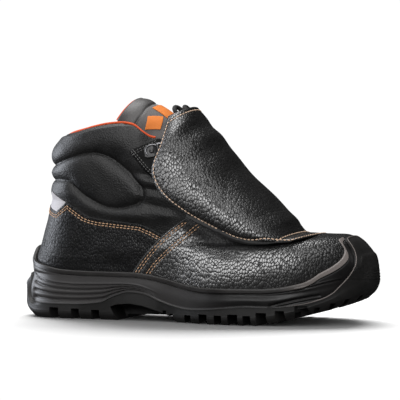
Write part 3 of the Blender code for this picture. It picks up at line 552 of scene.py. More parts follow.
def smooth_hide(name, low, high, rough=0.5, spec=0.5, grain=900.0, depth=0.00008):
    """Soft collar leather: fine grain, matte sheen, faint stretch marks."""
    m, t, b = nodes_of(name)
    vec = coords(t)
    vo = add(t, "ShaderNodeTexVoronoi", feature="SMOOTH_F1")
    vo.inputs["Scale"].default_value = grain
    t.links.new(vec, vo.inputs["Vector"])
    fine = noise(t, vec, 2400.0, 2.0)
    broad = noise(t, vec, 42.0, 4.0)
    h = math_node(t, "ADD", vo.outputs["Distance"], math_node(t, "MULTIPLY", fine.outputs["Fac"], 0.1))
    t.links.new(bump(t, h, depth, 1.0), b.inputs["Normal"])
    t.links.new(mix_colour(t, map_range(t, broad.outputs["Fac"], 0.3, 0.7, 0, 1), low, high), b.inputs["Base Color"])
    r = map_range(t, broad.outputs["Fac"], 0.25, 0.75, rough - 0.05, rough + 0.06)
    t.links.new(r, b.inputs["Roughness"])
    b.inputs["Specular IOR Level"].default_value = spec
    return m


def moulded(name, low, high, rough=0.55, spec=0.5, grain=1400.0, depth=0.00006, heel=None, toe=None):
    """Moulded rubber: fine spark texture and a little bloom."""
    m, t, b = nodes_of(name)
    vec = coords(t)
    fine = noise(t, vec, grain, 4.0, 0.65)
    broad = noise(t, vec, 38.0, 4.0)
    t.links.new(bump(t, fine.outputs["Fac"], depth), b.inputs["Normal"])
    f = math_node(t, "ADD", math_node(t, "MULTIPLY", broad.outputs["Fac"], 0.7),
                  math_node(t, "MULTIPLY", fine.outputs["Fac"], 0.3))
    tone = mix_colour(t, map_range(t, f, 0.35, 0.65, 0, 1), low, high)
    if heel:
        split = t.nodes.new("ShaderNodeSeparateXYZ")
        t.links.new(vec, split.inputs[0])
        tone = mix_colour(t, map_range(t, split.outputs["X"], -0.01, 0.05, 1.0, 0.0), tone, heel)
    # lighter colour mixed in towards the toe; the bead uses it as painted highlight
    if toe:
        split = t.nodes.new("ShaderNodeSeparateXYZ")
        t.links.new(vec, split.inputs[0])
        tone = mix_colour(t, map_range(t, split.outputs["X"], 0.085, 0.125, 0.0, 1.0), tone, toe)
    t.links.new(tone, b.inputs["Base Color"])
    t.links.new(map_range(t, broad.outputs["Fac"], 0.25, 0.75, rough - 0.06, rough + 0.07), b.inputs["Roughness"])
    b.inputs["Specular IOR Level"].default_value = spec
    return m


def woven(name, low, high, size=0.9, rough=0.85, depth=0.00012, sheen=0.2, turn=(0, 0, 0.6)):
    """Close weave of crossing yarns."""
    m, t, b = nodes_of(name)
    vec = coords(t, turn=turn)
    heights = []
    for direction in ("X", "Z"):
        w = add(t, "ShaderNodeTexWave", wave_type="BANDS", bands_direction=direction)
        w.inputs["Scale"].default_value = 1000.0 / size / 3.14
        w.inputs["Distortion"].default_value = 0.6
        t.links.new(vec, w.inputs["Vector"])
        heights.append(w.outputs["Fac"])
    h = math_node(t, "MAXIMUM", heights[0], heights[1])
    fine = noise(t, vec, 3000.0, 2.0)
    h = math_node(t, "ADD", h, math_node(t, "MULTIPLY", fine.outputs["Fac"], 0.4))
    t.links.new(bump(t, h, depth), b.inputs["Normal"])
    broad = noise(t, vec, 60.0, 3.0)
    f = math_node(t, "MULTIPLY", h, map_range(t, broad.outputs["Fac"], 0.2, 0.8, 0.45, 0.85), clamp=True)
    t.links.new(mix_colour(t, f, low, high), b.inputs["Base Color"])
    t.links.new(map_range(t, fine.outputs["Fac"], 0.2, 0.8, rough - 0.08, rough + 0.08), b.inputs["Roughness"])
    b.inputs["Sheen Weight"].default_value = sheen
    return m


def thread(name, low, high):
    m, t, b = nodes_of(name)
    vec = coords(t)
    twist = add(t, "ShaderNodeTexWave", wave_type="BANDS", bands_direction="DIAGONAL")
    twist.inputs["Scale"].default_value = 900.0
    t.links.new(vec, twist.inputs["Vector"])
    broad = noise(t, vec, 180.0, 2.0)
    t.links.new(bump(t, twist.outputs["Fac"], 0.0001), b.inputs["Normal"])
    t.links.new(mix_colour(t, broad.outputs["Fac"], low, high), b.inputs["Base Color"])
    t.links.new(map_range(t, twist.outputs["Fac"], 0, 1, 0.6, 0.75), b.inputs["Roughness"])
    return m


def flecked(name, ground, fleck, share=0.66):
    """Braided lace: dark ground with bright flecks."""
    m, t, b = nodes_of(name)
    vec = coords(t)
    braid = add(t, "ShaderNodeTexWave", wave_type="BANDS", bands_direction="DIAGONAL")
    braid.inputs["Scale"].default_value = 420.0
    braid.inputs["Distortion"].default_value = 1.5
    t.links.new(vec, braid.inputs["Vector"])
    vo = add(t, "ShaderNodeTexVoronoi", feature="F1")
    vo.inputs["Scale"].default_value = 210.0
    t.links.new(vec, vo.inputs["Vector"])
    pick = t.nodes.new("ShaderNodeSeparateColor")
    t.links.new(vo.outputs["Color"], pick.inputs[0])
    f = map_range(t, pick.outputs[0], share, share + 0.03, 0, 1)
    t.links.new(bump(t, braid.outputs["Fac"], 0.00018), b.inputs["Normal"])
    t.links.new(mix_colour(t, f, ground, fleck), b.inputs["Base Color"])
    t.links.new(map_range(t, braid.outputs["Fac"], 0, 1, 0.7, 0.9), b.inputs["Roughness"])
    return m


def glint(name, low, high):
    """Grey reflective cloth: fine beads."""
    m, t, b = nodes_of(name)
    vec = coords(t)
    vo = add(t, "ShaderNodeTexVoronoi", feature="F1")
    vo.inputs["Scale"].default_value = 1500.0
    t.links.new(vec, vo.inputs["Vector"])
    broad = noise(t, vec, 120.0, 3.0)
    t.links.new(bump(t, vo.outputs["Distance"], 0.0001), b.inputs["Normal"])
    t.links.new(mix_colour(t, broad.outputs["Fac"], low, high), b.inputs["Base Color"])
    t.links.new(map_range(t, broad.outputs["Fac"], 0.2, 0.8, 0.5, 0.65), b.inputs["Roughness"])
    return m


def painted(name, low, high, rough=0.35, metal=0.0):
    m, t, b = nodes_of(name)
    vec = coords(t)
    broad = noise(t, vec, 300.0, 4.0)
    t.links.new(bump(t, broad.outputs["Fac"], 0.00005), b.inputs["Normal"])
    t.links.new(mix_colour(t, broad.outputs["Fac"], low, high), b.inputs["Base Color"])
    t.links.new(map_range(t, broad.outputs["Fac"], 0.2, 0.8, rough - 0.08, rough + 0.1), b.inputs["Roughness"])
    b.inputs["Metallic"].default_value = metal
    return m


# vamp leather with painted shade under the flap's edge, towards the waist and low at the toe
GRAIN_VAMP = pebbled("vamp_leather", (0.0015, 0.0015, 0.0015), (0.0045, 0.0043, 0.0043), shade_under_flap=(0.052, 0.059, 6.5))
GRAIN_QUARTER = pebbled("quarter_leather", (0.0015, 0.0015, 0.0016), (0.0042, 0.004, 0.0044), cell=(1.8, 1.9, 2.6), finish=0.3, coat=0.26)
GRAIN_FLAP = pebbled("flap_leather", (0.0015, 0.0015, 0.0015), (0.0045, 0.0043, 0.0043), cell=(2.0, 2.1, 3.4),
                     turn=(0, 0.3, 0), depth=0.00024)
EDGE = smooth_hide("cut_edge", (0.003, 0.003, 0.003), (0.007, 0.007, 0.007), rough=0.7, spec=0.3)
COLLAR = smooth_hide("collar_leather", (0.003, 0.0029, 0.0029), (0.006, 0.0057, 0.0057), rough=0.52, spec=0.4, depth=0.00028)
LINING = woven("lining_cloth", (0.012, 0.012, 0.013), (0.05, 0.05, 0.052))
BINDING = woven("orange_binding", (0.3, 0.024, 0.001), (0.52, 0.064, 0.003), size=0.7, rough=0.8, depth=0.00006, sheen=0.0)
TAB = woven("orange_tab", (0.38, 0.092, 0.005), (0.58, 0.16, 0.012), size=0.6, rough=0.75, depth=0.00006, sheen=0.0)
TONGUE_PAD = smooth_hide("tongue_leather", (0.03, 0.028, 0.028), (0.055, 0.052, 0.051), rough=0.5, grain=700.0)
TONGUE_PANEL = woven("tongue_cloth", (0.04, 0.037, 0.036), (0.09, 0.083, 0.081), size=0.8)
THREAD = thread("peach_thread", (0.3, 0.165, 0.085), (0.52, 0.33, 0.2))
PALE_THREAD = thread("pale_thread", (0.4, 0.27, 0.18), (0.62, 0.46, 0.34))
DARK_THREAD = thread("grey_thread", (0.05, 0.05, 0.05), (0.13, 0.127, 0.125))
FACING = smooth_hide("facing_leather", (0.0015, 0.0015, 0.0015), (0.0035, 0.0035, 0.0035), rough=0.5, spec=0.09)
PATCH = glint("reflective_cloth", (0.2, 0.19, 0.2), (0.34, 0.325, 0.34))
LACE = flecked("lace_cord", (0.006, 0.006, 0.006), (0.6, 0.08, 0.015), share=0.93)
METAL = painted("black_loop", (0.004, 0.004, 0.005), (0.01, 0.01, 0.011), rough=0.42)
WIRE = painted("grey_wire", (0.1, 0.1, 0.105), (0.2, 0.2, 0.21), rough=0.36, metal=0.8)
MIDSOLE = moulded("midsole_rubber", (0.004, 0.0038, 0.0038), (0.008, 0.0076, 0.0076), rough=0.42, spec=0.27,
                  heel=(0.03, 0.0285, 0.0285))
# bead rubber lighter than the midsole as painted highlight along the bead, lighter still at the toe
BEAD = moulded("bead_rubber_painted_highlight", (0.009, 0.008, 0.0078), (0.016, 0.0148, 0.014), rough=0.42, toe=(0.11, 0.096, 0.09), spec=0.3)
OUTSOLE = moulded("outsole_rubber", (0.008, 0.0078, 0.0076), (0.014, 0.0135, 0.0132), rough=0.5, spec=0.26, grain=900.0,
                  depth=0.0001)
FELT = woven("insole_felt", (0.03, 0.03, 0.032), (0.09, 0.09, 0.095), size=1.4)

# ================================================================ lines of the panels (angle, level)
QUARTER_TOP = [(0.0, 9.4), (0.26, 9.15), (0.44, 8.92), (0.585, 8.76), (0.695, 9.08), (0.80, 9.4), (0.862, 9.18),
               (0.915, 8.97), (1.005, 8.58), (1.07, 8.44), (1.135, 8.35), (1.315, 8.22), (1.52, 8.08),
               (1.595, 7.78), (1.65, 7.38), (1.70, 7.0)]
VAMP_EDGE_XZ = ((-47.5, 36.4), (-46.1, 38.4), (-38.6, 48.7), (-30.0, 58.7), (-20.5, 68.3), (-11.7, 75.6), (-0.9, 83.3), (12.0, 90.5))
ROW_A1_XZ = ((-45.0, 37.3), (-44.0, 38.8), (-36.6, 48.4), (-28.0, 58.2), (-18.6, 67.6), (-9.8, 74.9), (0.5, 82.2))
ROW_A2_XZ = ((-42.3, 37.2), (-41.3, 38.7), (-33.6, 48.8), (-24.6, 58.8), (-13.4, 69.3), (-6.0, 75.5), (3.6, 82.6))
ROW_B1_XZ = ((-35.4, 36.5), (-34.3, 38.0), (-26.3, 47.8), (-17.0, 56.6), (-5.4, 66.1), (2.4, 72.4), (8.0, 77.0), (13.0, 81.0))
ROW_B2_XZ = ((-32.6, 36.5), (-31.5, 38.0), (-23.8, 47.3), (-14.4, 55.9), (-2.9, 64.8), (4.4, 70.8), (10.0, 75.4), (15.0, 79.4))
FRONT_EDGE = ((6.0, 2.6), (7.6, 2.7), (8.0, 2.80), (8.25, 2.835), (8.5, 2.809), (9.0, 2.751), (9.5, 2.692),
              (10.0, 2.638), (10.5, 2.592), (11.0, 2.553), (11.5, 2.51), (12.0, 2.44), (12.25, 2.37),
              (12.5, 2.21), (12.85, 2.13), (13.5, 2.07), (13.85, 2.0), (14.0, 1.9))
PATCH_LINE = [(0.465, 10.18), (0.775, 9.40), (0.605, 8.70), (0.25, 9.0)]
FACING_BACK = [(1.86, 11.72), (1.875, 10.8), (1.91, 10.23), (2.0, 9.6), (2.16, 9.0)]
FACING_TOP = [(1.86, 11.72), (2.09, 12.02), (2.30, 12.32)]

GROOVE_HIGH = ((-131.5, 126.6), (-122.0, 128.2), (-108.7, 132.2), (-98.4, 135.4), (-89.3, 137.7), (-82.0, 138.5),
               (-74.9, 138.0), (-66.2, 134.9), (-58.2, 129.6), (-49.3, 122.6), (-42.7, 115.8), (-38.3, 110.7),
               (-36.4, 105.0))
GROOVE_LOW = ((-131.5, 114.6), (-116.6, 115.7), (-106.1, 115.1), (-102.0, 113.4), (-94.9, 107.7), (-84.5, 100.4),
              (-72.9, 95.0), (-61.5, 92.9), (-49.8, 94.4), (-41.1, 97.0), (-36.9, 101.6), (-36.4, 105.0))

# ================================================================ collar and lining
CREASES = (  # x0, z0, x1, z1, half width, depth (below zero is a ridge)
    (-54.0, 134.0, -30.0, 126.0, 3.0, -0.65),
    (-48.0, 124.0, -24.0, 118.5, 2.4, 1.0),
    (-43.0, 117.5, -18.0, 113.0, 2.8, -0.7),
    (-39.0, 110.8, -16.0, 107.0, 2.2, 1.1),
    (-37.0, 104.2, -12.0, 100.5, 2.6, -0.65),
    (-38.0, 97.5, -10.0, 92.5, 2.4, 0.85),
    (-34.0, 90.5, -8.0, 86.5, 2.6, -0.55),
    (-68.0, 139.0, -50.0, 130.0, 8.0, 1.7),
    (-52.0, 133.0, -36.0, 124.0, 8.0, 1.7),
    (-108.0, 146.0, -84.0, 150.0, 3.0, 0.4),
    (-66.0, 88.0, -18.0, 86.0, 6.0, -1.4),
)


def crease(p, rows):
    out = np.zeros(p.shape[:-1])
    q = p[..., [0, 2]]
    for x0, z0, x1, z1, half, depth in rows:
        a, b = np.array([x0, z0]), np.array([x1, z1])
        ab = b - a
        f = np.clip(((q - a) @ ab) / (ab @ ab), 0, 1)
        d = np.linalg.norm(q - a - f[..., None] * ab, axis=-1)
        out -= depth * np.exp(-(d / half) ** 2) * (0.35 + 0.65 * np.sin(PI * np.clip(f, 0.02, 0.98)) ** 0.5)
    return out


QUARTER_Z = ((-140.0, 99.0), (-118.0, 97.0), (-100.0, 96.0), (-85.0, 86.0), (-40.0, 80.0), (0.0, 78.0))
PAD_BULGE, PAD_SINK, PAD_REACH = 2.2, 2.6, 14.0


def quilting(p):
    """Height of the padded collar over the last: pillows that meet in tight sewn creases."""
    hi, lo = through(GROOVE_HIGH, 120), through(GROOVE_LOW, 120)
    q = p[..., [0, 2]]
    d = np.minimum(near(q, hi), near(q, lo))
    pillow = np.sqrt(np.clip(1 - (1 - np.clip(d / PAD_REACH, 0, 1)) ** 2, 0, 1))
    base = ease(QUARTER_Z, p[..., 0])
    low_fade = step(0.0, 9.0, p[..., 2] - base)
    front_fade = 1 - 0.85 * step(-42.0, -30.0, p[..., 0])
    sink = PAD_SINK * front_fade
    return -sink * np.exp(-(d / 2.6)) + PAD_BULGE * pillow * low_fade * front_fade


def front_edge(v):
    return ease(FRONT_EDGE, v)


def rim_share(theta):
    return 1 - 0.36 * step(0.5, 1.1, np.abs(theta))


def rim_level(theta, v):
    """Levels by the rim, drawn in so that its rolled edge ends at the last's own height."""
    return np.where(v > 13.0, 13.0 + (v - 13.0) * rim_share(theta), v)


rows_v = np.concatenate([np.linspace(6.0, 8.0, 8)[:-1], np.linspace(8.0, 13.5, 96)[:-1], np.linspace(13.5, 14.0, 10)])
turn = np.linspace(1, -1, 280)
V = np.repeat(rows_v[:, None], len(turn), 1)
TH = front_edge(V) * turn[None, :]
P0, N0 = last(TH, rim_level(TH, V)), last_normal(TH, rim_level(TH, V))
lift = quilting(P0) + crease(P0, CREASES) + 0.12 * rough_noise(P0, 9.0, 0.4)
lift *= 1 - 0.8 * step(13.7, 14.0, V)
lift -= 1.1 * step(8.6, 7.4, V)
thick = wall_at(TH, V) * 0.9
verts, quads, part = slab(P0, N0, lift, thick, seg=8)
collar = piece("collar", verts, quads, [COLLAR, LINING, EDGE], np.where(part == 2, 1, 0),
               stands=("upper",))

# lining of the foot, below the collar
lv = np.linspace(0.35, 7.9, 40)
lt = np.linspace(PI, -PI, 180)
LV, LT = np.meshgrid(lv, lt, indexing="ij")
LP, LN = last(LT, LV), last_normal(LT, LV)
verts, quads, part = slab(LP, LN, -1.6 + 0 * LV, 2.4 + 0 * LV, seg=2)
piece("foot_lining", verts, quads, [LINING])


# orange binding along the rim
def rim_line(count=260):
    half = [(front_edge(v), v) for v in (12.35, 12.5, 12.85, 13.2, 13.5, 13.85)] + [(1.9, 14.0), (1.6, 14.0), (1.2, 14.0),
                                                                             (0.7, 14.0), (0.3, 14.0)]
    rows = [(a, float(rim_level(a, v))) for a, v in half + [(0.0, 14.0)] + mirror(half)]
    return on_last(rows, count)


line = rim_line()
p, n = last(line[:, 0], line[:, 1]), last_normal(line[:, 0], line[:, 1])
w = wall_at(line[:, 0], line[:, 1]) * 0.9
full = 13.0 + (line[:, 1] - 13.0) / np.where(line[:, 1] > 13.0, rim_share(line[:, 0]), 1.0)
puffed = (quilting(p) + crease(p, CREASES)) * (1 - 0.8 * step(13.7, 14.0, full))
along = unit(np.gradient(p, axis=0))
rise = unit(np.cross(along, n))
rise *= np.sign(rise[:, 2:3] + 1e-9)
away = np.abs(line[:, 0])
sink = 1.2 * (1 - step(0.55, 1.0, away))
half = (w + puffed) / 2
crest = p + n * ((puffed - w) / 2 + 0.45 * half)[:, None] + rise * (0.66 * half - 0.1 - 0.6 * sink)[:, None]
verts, quads = tube(crest, 1.05, 10)
piece("rim_binding", verts, quads, BINDING)


# ================================================================ stitches
def stitch_row(points, normals, pitch=3.3, length=2.6, wide=0.38, high=0.36, sink=0.05):
    """Separate threads along a line: each one a bent spindle lying on the leather."""
    run = np.concatenate([[0], np.cumsum(np.linalg.norm(np.diff(points, axis=0), axis=1))])
    count = max(2, int(run[-1] / pitch))
    s0 = (np.arange(count) + 0.5) * run[-1] / count
    local = np.linspace(-0.5, 0.5, 6)
    shape = np.array([0.25, 0.82, 1.0, 1.0, 0.82, 0.25])
    arch = np.array([-0.5, 0.05, 0.2, 0.2, 0.05, -0.5])
    made = []
    for s in s0:
        at = s + local * length
        q = np.stack([np.interp(at, run, points[:, k]) for k in range(3)], -1)
        m = unit(np.stack([np.interp(at, run, normals[:, k]) for k in range(3)], -1))
        made.append(tube(q + m * (arch * high * 1.2 - sink + high * 0.35)[:, None], wide * shape, 6, high / wide, m))
    return join(made)


def on_surface(rows, lift, count=240, smooth=True):
    line = on_last(rows, count, smooth)
    p, n = last(line[:, 0], line[:, 1]), last_normal(line[:, 0], line[:, 1])
    return p + n * np.asarray(lift).reshape(-1, 1), n


def beside(rows, gap, count=300, smooth=False):
    """A line on the last a fixed distance below another one."""
    line = on_last(rows, count, smooth)
    p, n = last(line[:, 0], line[:, 1]), last_normal(line[:, 0], line[:, 1])
    t = unit(np.gradient(p, axis=0))
    side = np.cross(n, t)
    k = np.ones(9) / 9
    pad = np.pad(side, ((4, 4), (0, 0)), mode="edge")
    side = unit(np.stack([np.convolve(pad[:, j], k, "valid") for j in range(3)], -1))
    return p + side * gap, n


# ================================================================ quarters
Q_LIFT, V_LIFT = 1.0, 2.0
top = mirror(QUARTER_TOP[1:]) + QUARTER_TOP
nq, mq = 280, 86
bottom = on_last([(-1.30, 0.7), (-0.9, 0.7), (-0.45, 0.7), (0.0, 0.7), (0.45, 0.7), (0.9, 0.7), (1.30, 0.7)], nq)
top_line = on_last(top, nq, smooth=False)
right = on_last([(1.30, 0.7), (1.35, 2.38), (1.45, 4.6), (1.66, 6.6), (1.70, 7.0)], mq)
left = right * np.array([-1, 1])
G = coons(bottom, top_line, left, right)
PQ, NQ = last(G[..., 0], G[..., 1]), last_normal(G[..., 0], G[..., 1])
QUARTER_CREASES = (
    (-48.0, 70.0, -30.0, 60.0, 5.0, 0.5),
    (-128.0, 62.0, -100.0, 58.0, 7.0, 0.35),
    (-75.0, 46.0, -50.0, 48.0, 5.0, 0.3),
)
lift = Q_LIFT + crease(PQ, QUARTER_CREASES) + 0.16 * rough_noise(PQ, 11.0, 1.3)
rows_of_thread = []
for gap in (2.6, 4.5):
    q, m = beside(top, -gap)
    rows_of_thread.append((q, m))
    lift = lift - 0.35 * np.exp(-(near(PQ, q) / 1.0) ** 2)
verts, quads, part = slab(PQ, NQ, lift, 0.4 + 0 * lift, seg=5)
piece("quarters", verts, quads, [GRAIN_QUARTER, EDGE], np.where(part == 0, 0, 1))
threads = [stitch_row(q + m * (Q_LIFT - 0.05), m) for q, m in rows_of_thread]

# ================================================================ vamp
nv, mv = 280, 100
low = [(1.235 + (2 * PI - 2.47) * f, 0.7) for f in np.linspace(0, 1, 13)]
bottom = on_last(low, nv)
edge_line = from_side(VAMP_EDGE_XZ, 120)
left = on_last(np.concatenate([[(1.235, 0.7)], edge_line[edge_line[:, 1] > 0.8], [(2.45, 9.0)]]), mv, smooth=False)
right = np.stack([2 * PI - left[:, 0], left[:, 1]], -1)
ridge = [(2.45, 9.0), (2.62, 8.55), (2.85, 7.95), (PI, 7.7), (2 * PI - 2.85, 7.95), (2 * PI - 2.62, 8.55), (2 * PI - 2.45, 9.0)]
G = coons(bottom, on_last(ridge, nv), left, right)
PV, NV = last(G[..., 0], G[..., 1]), last_normal(G[..., 0], G[..., 1])
VAMP_CREASES = (
    (40.0, 62.0, 62.0, 40.0, 9.0, 0.5),
    (78.0, 60.0, 92.0, 44.0, 8.0, 0.4),
    (2.0, 77.0, 16.0, 68.8, 5.0, 1.2),
    (12.0, 70.5, 38.0, 59.6, 5.0, 1.3),
    (34.0, 60.8, 60.0, 56.0, 4.6, 1.1),
    (60.0, 66.0, 84.0, 66.0, 4.0, 0.5),
)
lift = V_LIFT + crease(PV, VAMP_CREASES) + 0.2 * rough_noise(PV, 13.0, 2.1)
seam_rows = []
for rows in (ROW_A1_XZ, ROW_A2_XZ, ROW_B1_XZ, ROW_B2_XZ):
    drawn = from_side(rows)
    for side in (drawn, drawn[::-1] * np.array([-1, 1])):
        line = on_last(side, 200, smooth=False)
        q, m = last(line[:, 0], line[:, 1]), last_normal(line[:, 0], line[:, 1])
        seam_rows.append((q, m))
        lift = lift - 0.35 * np.exp(-(near(PV, q) / 1.0) ** 2)
verts, quads, part = slab(PV, NV, lift, 0.4 + 0 * lift, seg=5)
vamp_ob = piece("vamp", verts, quads, [GRAIN_VAMP, EDGE], np.where(part == 0, 0, 1))
threads += [stitch_row(q + m * (V_LIFT - 0.05), m) for q, m in seam_rows]


# ================================================================ facing and heel patch
def overlay(name, corners, lift, mats, nu=60, nw=60, smooth=True, edge=0.5):
    """Small panel from its bottom, top, left and right lines."""
    bottom, top, left, right = (on_last(r, k, smooth) for r, k in zip(corners, (nu, nu, nw, nw)))
    G = coons(bottom, top, left, right)
    P, N = last(G[..., 0], G[..., 1]), last_normal(G[..., 0], G[..., 1])
    base = lift(P) if callable(lift) else lift + 0 * P[..., 0]
    verts, quads, part = slab(P, N, base, -base + edge + 0 * base, seg=4)
    return piece(name, verts, quads, mats), P, N


def over_collar(extra):
    return lambda P: quilting(P) + crease(P, CREASES) + extra


dark = []
for side, tag in ((1, "outer"), (-1, "inner")):
    f = lambda rows: [(side * a, v) for a, v in rows]
    vs = (9.0, 9.6, 10.2, 10.8, 11.4, 12.0, 12.3)
    front = f([(float(front_edge(v)) - 0.012, v) for v in vs])
    ob, P, N = overlay("facing_" + tag, (f([(2.16, 9.0), (2.5, 9.0), (float(front_edge(9.0)) - 0.012, 9.0)]),
                                         f([(1.86, 11.72), (2.09, 12.02), (float(front_edge(12.3)) - 0.012, 12.3)]),
                                         f(FACING_BACK[::-1]), front), over_collar(1.7), FACING, 56, 90, edge=0.9)
    for gap in (1.6, 3.4):
        for rows in (FACING_BACK, FACING_TOP):
            q, m = beside(f(rows), gap * (1 if rows is FACING_BACK else -1) * side, 120, True)
            up = quilting(q) + crease(q, CREASES) + 1.68
            dark.append(stitch_row(q + m * up[:, None], m, pitch=2.6, length=2.0, wide=0.33, high=0.3))

verts, quads = join(dark)
piece("facing_stitches", verts, quads, DARK_THREAD)

for side, tag in ((1, "outer"), (-1, "inner")):
    f = lambda rows: [(side * a, v) for a, v in rows]
    a, b, c, d = PATCH_LINE
    overlay("heel_patch_" + tag, (f([d, c]), f([a, b]), f([d, a]), f([c, b])), over_collar(0.55), PATCH, 30, 30, smooth=False, edge=0.3)

# ================================================================ instep flap
FLAP_COLUMNS = ("ridge_x", "ridge_z", "edge_x", "edge_y", "edge_z", "thick", "curl")
FLAP_ROWS = (
    (106.5, 73.3, 92.5, 40.0, 69.0, 1.7, 0.0),
    (99.0, 73.5, 88.0, 42.6, 68.7, 1.7, 0.0),
    (91.8, 74.2, 83.0, 45.4, 68.5, 1.8, 0.02),
    (88.2, 76.8, 77.0, 47.8, 68.0, 2.4, 0.06),
    (85.6, 80.6, 70.0, 50.0, 67.8, 2.8, 0.12),
    (83.2, 85.0, 63.0, 51.4, 67.8, 3.0, 0.17),
    (78.0, 89.0, 55.5, 52.4, 68.8, 3.0, 0.20),
    (71.5, 94.0, 47.0, 53.0, 71.0, 3.0, 0.22),
    (60.0, 104.8, 34.0, 53.4, 76.2, 3.0, 0.24),
    (49.5, 114.0, 22.0, 53.6, 81.8, 3.0, 0.24),
    (38.3, 124.4, 9.0, 53.6, 88.3, 3.0, 0.24),
    (27.8, 137.6, -6.0, 53.2, 97.8, 3.0, 0.22),
    (21.0, 146.4, -15.0, 52.4, 105.6, 3.0, 0.19),
    (14.6, 154.8, -22.0, 51.0, 116.0, 3.0, 0.14),
    (6.4, 161.4, -24.0, 49.0, 128.5, 3.0, 0.10),
    (0.8, 169.2, -19.6, 42.5, 146.0, 3.0, 0.05),
    (-4.6, 176.3, -18.8, 26.0, 169.2, 3.0, 0.0),
)
FLAP_FULL = 2.1
FLAP = table(FLAP_ROWS, FLAP_COLUMNS)


def flap(s, w):
    """Outer face of the flap: s runs up it by table row, w across it from -1 to 1."""
    c = {k: smooth_rows(FLAP[k], s) for k in FLAP_COLUMNS}
    a = w * PI / 2 * (1 + np.clip(c["curl"], 0, 1))
    p = 2 / FLAP_FULL
    power = lambda q: np.sign(q) * np.abs(q) ** p
    drop = 1 - power(np.cos(a))
    most = 1 - power(np.cos(PI / 2 * (1 + np.clip(c["curl"], 0, 1))))
    share = drop / most
    x = c["ridge_x"] + (c["edge_x"] - c["ridge_x"]) * share
    z = c["ridge_z"] + (c["edge_z"] - c["ridge_z"]) * share
    y = c["edge_y"] * power(np.sin(a))
    fall = np.exp(-((s - 4.6) / 2.4) ** 2) * step(0.02, 0.45, w) * (1 - step(0.75, 1.0, w))
    return np.stack([x - 3.5 * fall, y, z - 5.0 * fall], -1)


def flap_normal(s, w, h=0.01):
    a = flap(s + h, w) - flap(s - h, w)
    b = flap(s, np.clip(w + h, -1, 1)) - flap(s, np.clip(w - h, -1, 1))
    n = unit(np.cross(b, a))
    return n * np.sign((n * np.array([0.5, 0, 0.9])).sum(-1, keepdims=True) + 0.6 * np.sign(flap(s, w)[..., 1:2]) * n[..., 1:2] + 1e-9)


fs, fw = np.linspace(0, 16, 150), np.linspace(-1, 1, 200)
S, W = np.meshgrid(fs, fw, indexing="ij")
PF, NF = flap(S, W), flap_normal(S, W)
FLAP_CREASES = (
    (24.0, 146.0, -8.0, 118.0, 8.0, 0.9),
    (84.0, 84.0, 66.0, 72.0, 4.0, 0.5),
    (92.0, 75.0, 84.0, 69.5, 2.2, 0.7),
    (60.0, 96.0, 40.0, 80.0, 9.0, -0.5),
)
lift = crease(PF, FLAP_CREASES) + 0.3 * rough_noise(PF, 14.0, 0.9)


def flap_line(points, count=400):
    """Line drawn on the flap through (row, across) pairs."""
    data = np.array(points, float)
    u = np.linspace(0, len(data) - 1, 40 * len(data))
    fine = np.stack([np.interp(u, np.arange(len(data)), data[:, k]) for k in (0, 1)], -1)
    return even(fine, count, flap(fine[:, 0], fine[:, 1]))


# line a set distance inside the edge, all the way round
edge_w = []
inset = 2.3
for s in np.linspace(0.0, 16.0, 120):
    w = np.linspace(0.6, 1, 160)
    q = flap(np.full_like(w, s), w)
    back = np.concatenate([np.cumsum(np.linalg.norm(np.diff(q, axis=0), axis=1)[::-1])[::-1], [0]])
    edge_w.append((s, float(np.interp(-inset, -back, w))))
side_row = [(s, w) for s, w in edge_w if 0.35 < s < 15.62]
ring_rows = ([(0.33, w) for w in np.linspace(0, side_row[0][1], 12)] + side_row
             + [(15.65, w) for w in np.linspace(side_row[-1][1], 0, 12)])
flap_threads = []
for sign in (1, -1):
    line = flap_line([(s, sign * w) for s, w in ring_rows], 420)
    flap_threads.append(line)
bend = flap_line([(2.15, w) for w in np.linspace(-0.965, 0.965, 30)], 300)
flap_threads.append(bend)
made = []
for line in flap_threads:
    q, m = flap(line[:, 0], line[:, 1]), flap_normal(line[:, 0], line[:, 1])
    lift = lift - 0.4 * np.exp(-(near(PF, q) / 1.1) ** 2)
    made.append(stitch_row(q - m * 0.1, m, wide=0.46))
verts, quads, part = slab(PF, NF, lift, smooth_rows(FLAP["thick"], S) * 0.85, seg=6)
flap_ob = piece("flap", verts, quads, [GRAIN_FLAP, EDGE], np.where(part == 0, 0, 1), stands=("instep_flap",))
verts, quads = join(made)
piece("flap_stitches", verts, quads, PALE_THREAD)
verts, quads = join(threads)
piece("stitches", verts, quads, THREAD)

# ================================================================ tongue
TONGUE_DEPTH = 4.2
TONGUE_LOW = ((7.0, 20.0, 3.0), (8.0, 23.0, 3.6), (9.0, 25.0, 4.4), (10.0, 26.0, 5.0), (10.8, 26.5, 5.5))
TONGUE_HIGH = (  # ridge x, z; edge x, y, z; thickness
    (-9.0, 154.0, -28.5, 24.5, 146.5, 5.5),
    (-17.5, 163.0, -39.0, 24.0, 152.5, 6.0),
    (-27.0, 171.0, -47.5, 23.8, 157.5, 6.5),
    (-38.0, 178.2, -55.5, 23.8, 161.5, 6.5),
    (-46.5, 182.8, -61.0, 23.8, 164.0, 6.0),
    (-53.5, 184.2, -65.5, 23.6, 165.0, 4.5),
)


def front_angle(level, half):
    a = np.linspace(0.0, 1.3, 400)
    y = -last(PI - a, np.full_like(a, level))[:, 1]
    return float(a[np.argmax(y >= half)]) if (y >= half).any() else 1.3


